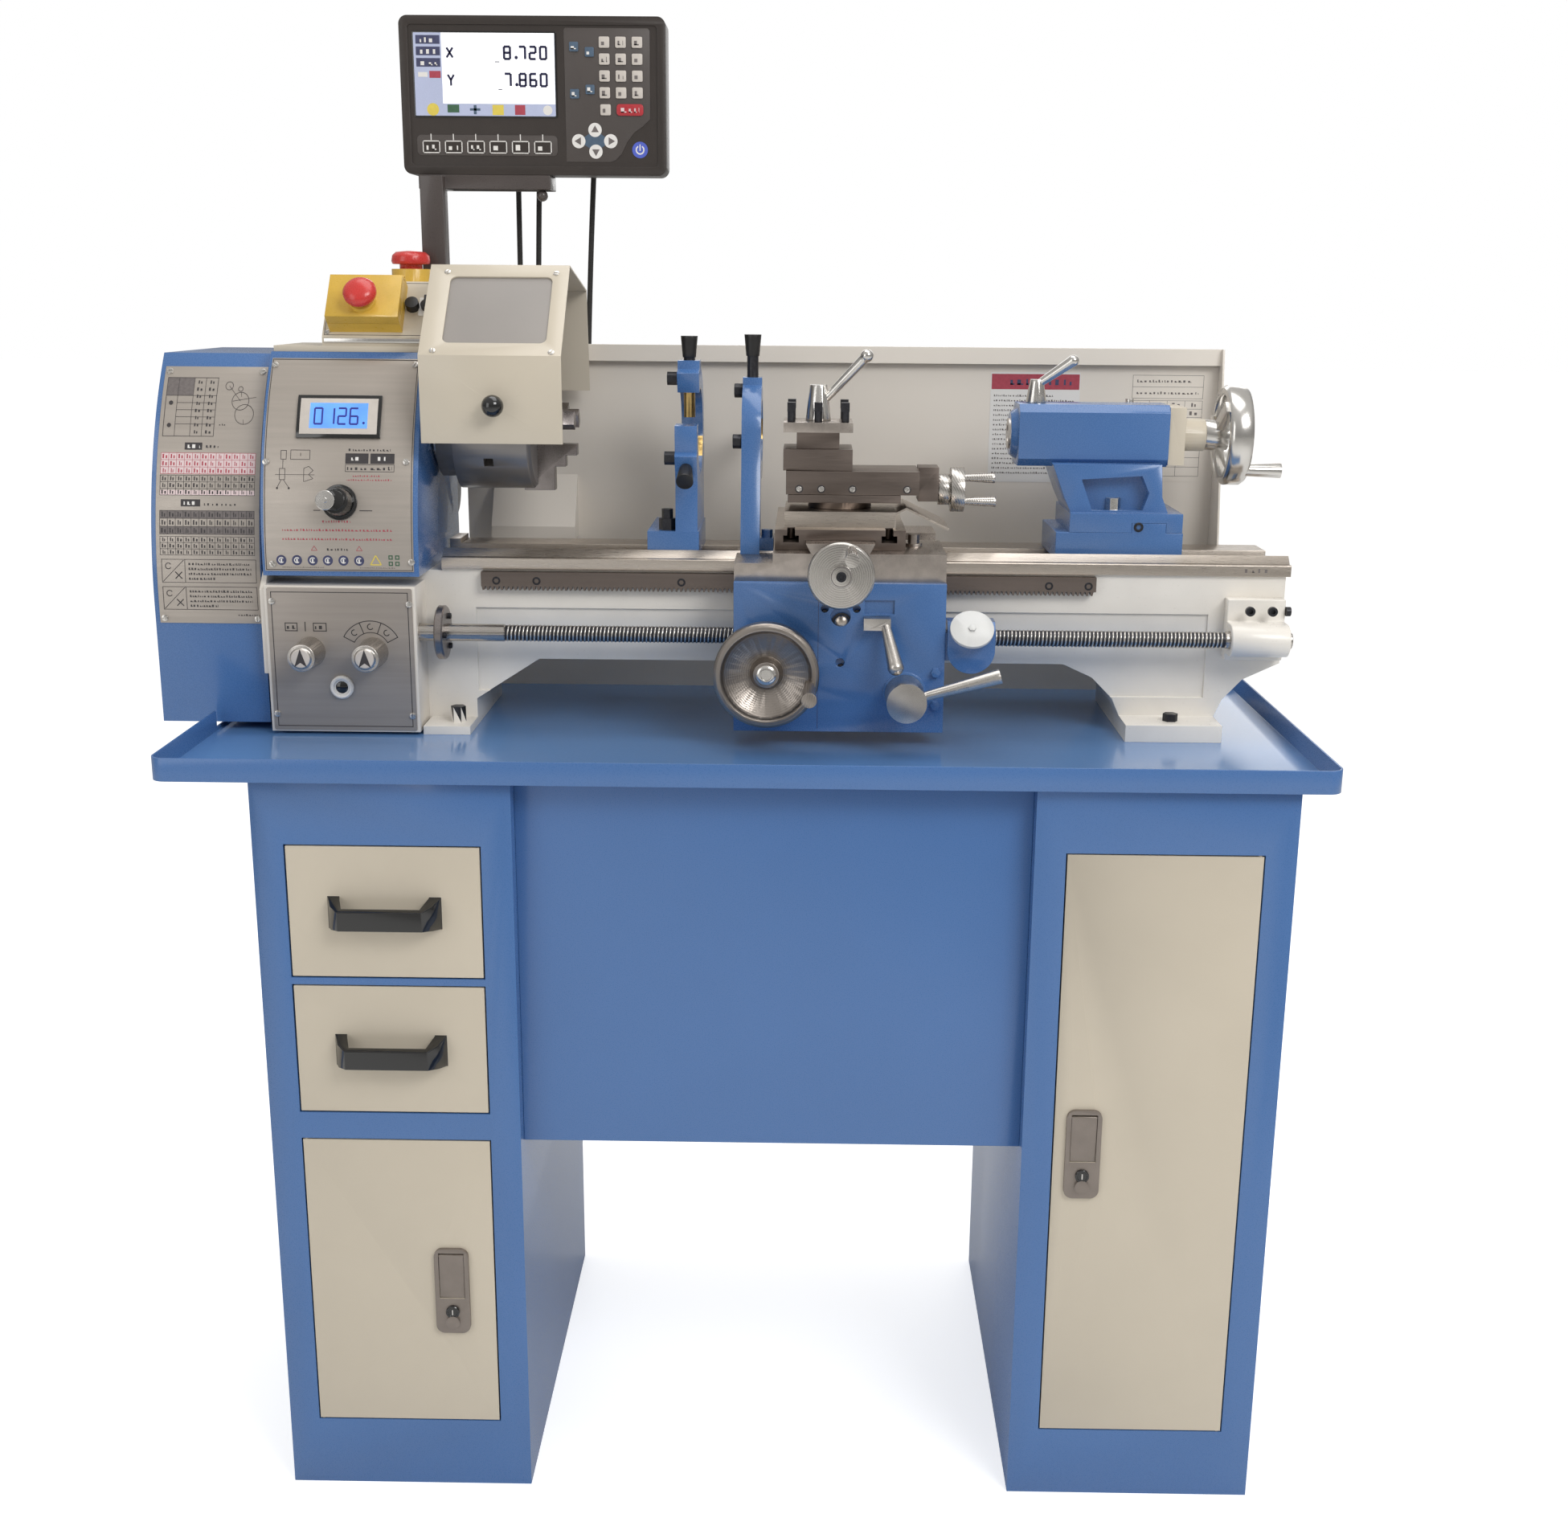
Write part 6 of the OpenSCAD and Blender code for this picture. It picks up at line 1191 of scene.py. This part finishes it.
def dress_apron():
    """Apron with screws in its recesses, painted shade in their holes, a seam, a ring sign and the big
    handwheel.
    """
    dress("apron", "cast_blue", ease=1.0)
    dress("apron_handwheel", "apron_wheel", ease=0.5)
    tall = high("apron")[2] - low("apron")[2]
    face = front_face(AXIS_Y - 152, low("apron")[0], low("apron")[2])
    plug, screws = (109, 113), [(92, 122), (124, 122), (109, 66)]
    # Black discs in the holes round the screws and the plug are painted shade, the dark of the holes.
    hole_shade_discs = [s for (u, v), r in zip(screws[:2] + [plug, screws[2]], (4, 4, 9.6, 4.3)) for s in disc(u, v, r)]
    printed("apron_pits", face, hole_shade_discs, "black_screw", "carriage", -4)
    pattern("apron_screws", "socket", on(face, screws, -5), "black_screw", "carriage", size=0.8)
    pattern("apron_plug", "dome", on(face, [plug], -5), "ground", "carriage", size=2.6)
    recess = on(face, [(138, 114), (152, 114)], -6.5)
    pattern("recess_screws", "socket", recess, "screw", "carriage", size=0.85)
    printed("apron_seam", face, bar(85.4, 3, 85.9, tall - 2), "navy_ink", "carriage", 0.05)
    printed("lever_sign", face, ring(148.5, 75.5, 4.4, 5.4), "blue", "carriage", 0.1)
    hub = [(0, 0), (10, 0), (10, 2), (8, 3.6), (5.4, 3.6), (5, 1.5), (0, 1.5)]
    place = (-10, AXIS_Y - 184.6, AXIS_Z - 227)
    piece("apron_wheel_cap", turned_part(hub, place, (0, -1, 0)), "chrome", "apron_handwheel")


def dress_compound():
    """Compound slide with its gib screws and painted shade round them, and the two slides' handwheels."""
    dress("compound_slide", "oxide", ease=0.8)
    dress("compound_handwheel", "cross_wheel", ease=0.4)
    dress("cross_handwheel", "cross_wheel", ease=0.5)
    corner = low("compound_slide")
    face = front_face(corner[1], corner[0], corner[2])
    spots = [(u, 14) for u in (13.6, 36.3, 68.3, 124.3)]
    # Black discs round the gib screws are painted shade, the dark of the holes they sit in.
    hole_shade_discs = [s for u, v in spots for s in disc(u, v, 4.2)]
    printed("gib_pits", face, hole_shade_discs, "ink", "compound_slide", 0.1)
    pattern("gib_screws", "slotted", on(face, spots), "screw", "compound_slide", size=0.85, spin=ANY_TURN,
            seed=17)
    x, y, z = 63, AXIS_Y - 209, AXIS_Z - 124
    hub_ring = ring(0, 0, 9.4, 10.2, n=32)
    printed("cross_wheel_ring", front_face(y, x, z), hub_ring, "soft_ink", "cross_handwheel", 0.1)
    vertices, faces = socket_head(5, 1.6, 5, 1.2)
    screw = [(x + a, y - c, z + b) for a, b, c in vertices], faces
    piece("cross_wheel_screw", screw, "black_screw", "cross_handwheel")


# ---------------------------------------------------------------- rests and tailstock
def dress_rest(node, angles, boss_end, knob_start, inner, side):
    """A rest: painted frame, brass fingers and black knobs, told apart by their place along each finger.
    The bolts stand out to the left of side."""
    centre, x = Vector((0, AXIS_Y, AXIS_Z)), middle(node)[0]
    ways = [Vector((0, math.cos(math.radians(a)), math.sin(math.radians(a)))) for a in angles]

    def reach(p):
        """How far out along a finger a point lies, or none."""
        for way in ways:
            along = (p - centre).dot(way)
            off = p - centre - way * along
            if along > 5 and math.hypot(off.y, off.z) < 11.5 and abs(p.x - x) < 60:
                return along
        return 0

    def out(start, end):
        """A test for what lies between two distances along a finger."""
        def inside(p, n):
            return start < reach(p) <= end
        return inside

    def bolt(p, n):
        return p.x < side and p.z > WAY_TOP + 27.5 and reach(p) <= knob_start

    areas = [("black_screw", bolt), ("brass", out(5, inner)), ("black_screw", out(boss_end, knob_start)),
             ("black", out(knob_start, math.inf))]
    dress(node, "cast_blue", areas, ease=0.8)


def follow_clamps():
    """Two black clamp screws on the follow rest's left side."""
    profile = [(0, -0.5), (7, -0.5), (7.5, 0.2), (7.5, 9), (7, 9.5), (0, 9.5)]
    x = low("follow_rest")[0]
    for n, (y, z) in enumerate(((AXIS_Y, AXIS_Z + 42), (AXIS_Y - 42, AXIS_Z - 8))):
        clamp = turned_part(profile, (x, y, z), (-1, 0, 0), 6)
        piece(f"follow_clamp_{n + 1}", clamp, "black_screw", "carriage", 0.4)


def dress_tailstock():
    """Tailstock with its quill, wheel and levers, and the steady rest beside it."""
    dress("tailstock_base", "cast_blue", ease=0.8)
    (x0, y0, z0), right = low("tailstock_base"), high("tailstock_base")[0]
    cap = within(x=(middle("tailstock_clamp_lever")[0] + 29, right + 37), z=(AXIS_Z - 45, AXIS_Z + 60))
    x, y = x0 + 62, y0 + 24
    nut = within(x=(x - 8.5, x + 8.5), y=(y - 9.5, y + 9.5), z=(WAY_TOP + 50.5, WAY_TOP + 66))
    dress("tailstock_body", "cast_blue", [("cream", cap), ("screw", nut)], ease=1.0)
    dress("quill", "turned", ease=0.4)
    dress("tailstock_handwheel", "chrome", ease=0.6)
    dress("quill_lock_lever", "chrome", ease=0.4)
    dress("tailstock_clamp_lever", "chrome", ease=0.4)
    dress_rest("steady_rest", (90, 208, 332), 73.2, 76, 45, low("steady_rest")[0] + 29.2)
    step = on(front_face(y0, x0, z0), [(86, 61)], -3.6)
    pattern("key_step_screw", "socket", step, "black_screw", "tailstock", size=1.1)


# ---------------------------------------------------------------- readout
def dress_readout():
    """The readout on its post: case, cables, screen and keys, measured from its lower left corner."""
    dress("dro_post", "post", ease=1.6)
    dress("dro_head", "readout", ease=1.6)
    readout_cables()
    x, y, z = low("dro_head")
    face = front_face(y + 1.5, x, z)
    readout_screen(face)
    readout_softkeys(face)
    readout_pad(face)


def readout_cables():
    """Three cables that leave the readout's back and hang down into the cable box."""
    left, y, top = low("dro_head")[0], AXIS_Y + 138, low("dro_head")[2] + 20
    low_end, bend = TRAY_FLOOR + 72, 18
    line = [(y, top), (y + 4, top)]
    line += [polar(y + 4, top - bend, bend, a) for a in (80, 60, 40, 20, 0)]
    line += [(y + 4 + bend, top - bend - i * (top - bend - low_end) / 16) for i in range(1, 17)]
    for n, (side, lean) in enumerate(((109, 2), (125, 10), (180, 16))):
        points = [Vector((left + side + lean * ((v - low_end) / (top - low_end)) ** 2, u, v)) * MM
                  for u, v in line]
        route = bpy.data.curves.new(f"readout_cable_{n + 1}", "CURVE")
        route.dimensions = "3D"
        route.bevel_depth = 3 * MM
        route.bevel_resolution = 3
        route.use_fill_caps = True
        spline = route.splines.new("POLY")
        spline.points.add(len(points) - 1)
        for point, place in zip(spline.points, points):
            point.co = (*place, 1)
        spline.use_smooth = True
        cable = placed(route.name, route)
        route.materials.append(FINISH["rubber"])
        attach(cable, "machine")
        if n == 0:
            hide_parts("dro_cables")


def readout_screen(face):
    """The lit screen: a lilac frame of labels and signs round a white field with two rows of figures."""
    rim = slab(face, rounded(13.5, 166.5, 58, 144.5, 2), -0.1, 0.8)
    piece("screen_rim", rim, "gloss_black", "machine", 0.3)
    piece("screen_glass", slab(face, rounded(15, 164.5, 59.7, 142.8, 1), 0.7, 1.0), "lilac", "machine")
    printed("screen_field", face, bar(44.5, 72, 164.3, 142.8), "screen", "machine", 1.06)
    figures = numerals("8.720", 111, 117, 12.2, 2.4, 1.76) + numerals("7.860", 111, 90, 12.2, 2.4, 1.76)
    figures += stroke((50, 118), (56.5, 128), 2.1) + stroke((56.5, 118), (50, 128), 2.1)
    figures += stroke((50.5, 101), (53.7, 95.5), 2.1) + stroke((57, 101), (53.7, 95.5), 2.1)
    figures += stroke((53.7, 90), (53.7, 96), 2.1)
    figures += bar(101, 113.6, 106, 114.4) + bar(104, 86, 108, 86.8)
    printed("screen_figures", face, figures, "digits", "machine", 1.12)
    boxes = [s for i in range(3) for s in bar(17.5, 131.5 - 11.4 * i, 43, 140.2 - 11.4 * i)]
    printed("screen_labels", face, boxes, "navy_ink", "machine", 1.06)
    words = [s for i in range(3) for s in marks(22, 133 - 11.4 * i, 40, 5, 91 + i)]
    words += bar(19, 98.6, 29, 103.4) + disc(156, 65.8, 5, 16)
    printed("screen_words", face, words, "white_ink", "machine", 1.12)
    printed("screen_pink", face, bar(31, 97.6, 43, 104.6) + bar(121, 61, 132, 71), "red_ink", "machine", 1.1)
    printed("screen_amber", face, disc(33.5, 66, 6.4) + bar(97, 60.6, 109, 71), "amber_ink", "machine", 1.1)
    printed("screen_green", face, bar(49, 63, 61.5, 71), "green_ink", "machine", 1.1)
    printed("screen_blue", face, bar(73, 65, 84, 67.4) + bar(77, 61.4, 80, 70.6), "blue_key", "machine", 1.1)


def readout_softkeys(face):
    """The strip of six outlined keys under the screen."""
    piece("softkey_strip", slab(face, rounded(15, 165.5, 19.4, 40.4, 5), 0, 0.5), "keypad", "machine", 0.2)
    outlines, faces = [], []
    for i in range(6):
        u = 20.8 + 23.94 * i
        outlines += border(u, 21.8, u + 18.7, 34.6, 1.0) + bar(u + 8.8, 35, u + 9.8, 41.4)
        outlines += marks(u + 4, 25, u + 15, 6, 100 + i)
        faces += bar(u + 1, 22.8, u + 17.7, 33.6)
    printed("softkey_faces", face, faces, "readout", "machine", 0.6)
    printed("softkey_outlines", face, outlines, "white_ink", "machine", 0.66)


def readout_pad(face):
    """The keypad: figure keys, side keys, arrows and the lit power key."""
    outline = [(175, 13.8), (222, 13.8), (228, 16), (234, 22), (240, 34), (248, 44), (258, 51), (265, 57.5),
               (265.4, 146), (263, 148.3), (176, 148.4), (174.5, 146.5)]
    piece("keypad_foil", slab(face, outline, 0, 0.5), "keypad", "machine", 0.15)
    keys = [(217.1 + 17.4 * i, 134.2 - 16.8 * k) for k in range(4) for i in range(3)] + [(217.7, 66.7)]
    pattern("figure_keys", "key", on(face, keys, 0.4), "key", "machine")
    signs = [s for n, (u, v) in enumerate(keys) for s in marks(u - 3, v - 3, u + 3.2, 5.5, 120 + n)]
    printed("figure_signs", face, signs, "soft_ink", "machine", 1.98)
    sides = [(184.9, 129.7), (201.4, 124.5), (185, 82.6), (201.5, 87)]
    pattern("side_keys", "key", on(face, sides, 0.4), "blue_key", "machine", size=0.86)
    signs = [s for n, (u, v) in enumerate(sides) for s in marks(u - 3, v - 2.6, u + 3, 5, 140 + n)]
    printed("side_signs", face, signs, "white_ink", "machine", 1.8)
    piece("clear_key", slab(face, rounded(229.4, 258, 60.8, 72.6, 3.4), 0.4, 1.9), "red_key", "machine", 0.5)
    printed("clear_outline", face, marks(234, 64, 254, 5, 150), "pink_ink", "machine", 2.0)
    arrows = [(206, 46.4, 90), (188.4, 34.9, 180), (222.7, 35.1, 0), (206.6, 24.4, 270)]
    field = slab(face, [(188, 35), (206.4, 24), (223, 35), (206.2, 46.6)], 0.4, 0.7)
    piece("arrow_field", field, "blue_key", "machine")
    rounds = [s for u, v, a in arrows for s in disc(u, v, 7.2, 28)]
    printed("arrow_keys", face, rounds, "white_ink", "machine", 0.9)
    heads = [[polar(u, v, 4.6, a + t) for t in (0, 120, 240)] for u, v, a in arrows]
    printed("arrow_heads", face, heads, "soft_ink", "machine", 1.0)
    printed("power_key", face, disc(253.9, 26.4, 8.4, 30), "power", "machine", 0.5)
    sign = ring(253.9, 26.4, 3.4, 4.8, 120, 420, 24) + bar(253.3, 25.5, 254.5, 32)
    printed("power_sign", face, sign, "white_ink", "machine", 0.6)


studio()
make_heads()
dress_stand()
dress_bed()
dress_head()
dress_chuck()
dress_carriage()
dress_tailstock()
dress_readout()

whole_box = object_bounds()
ease_edges()


def plain(v):
    return [list(p) for p in v] if v and hasattr(v[0], "__len__") else list(v)


{"cad": plain(cad_box), "whole": plain(whole_box)}
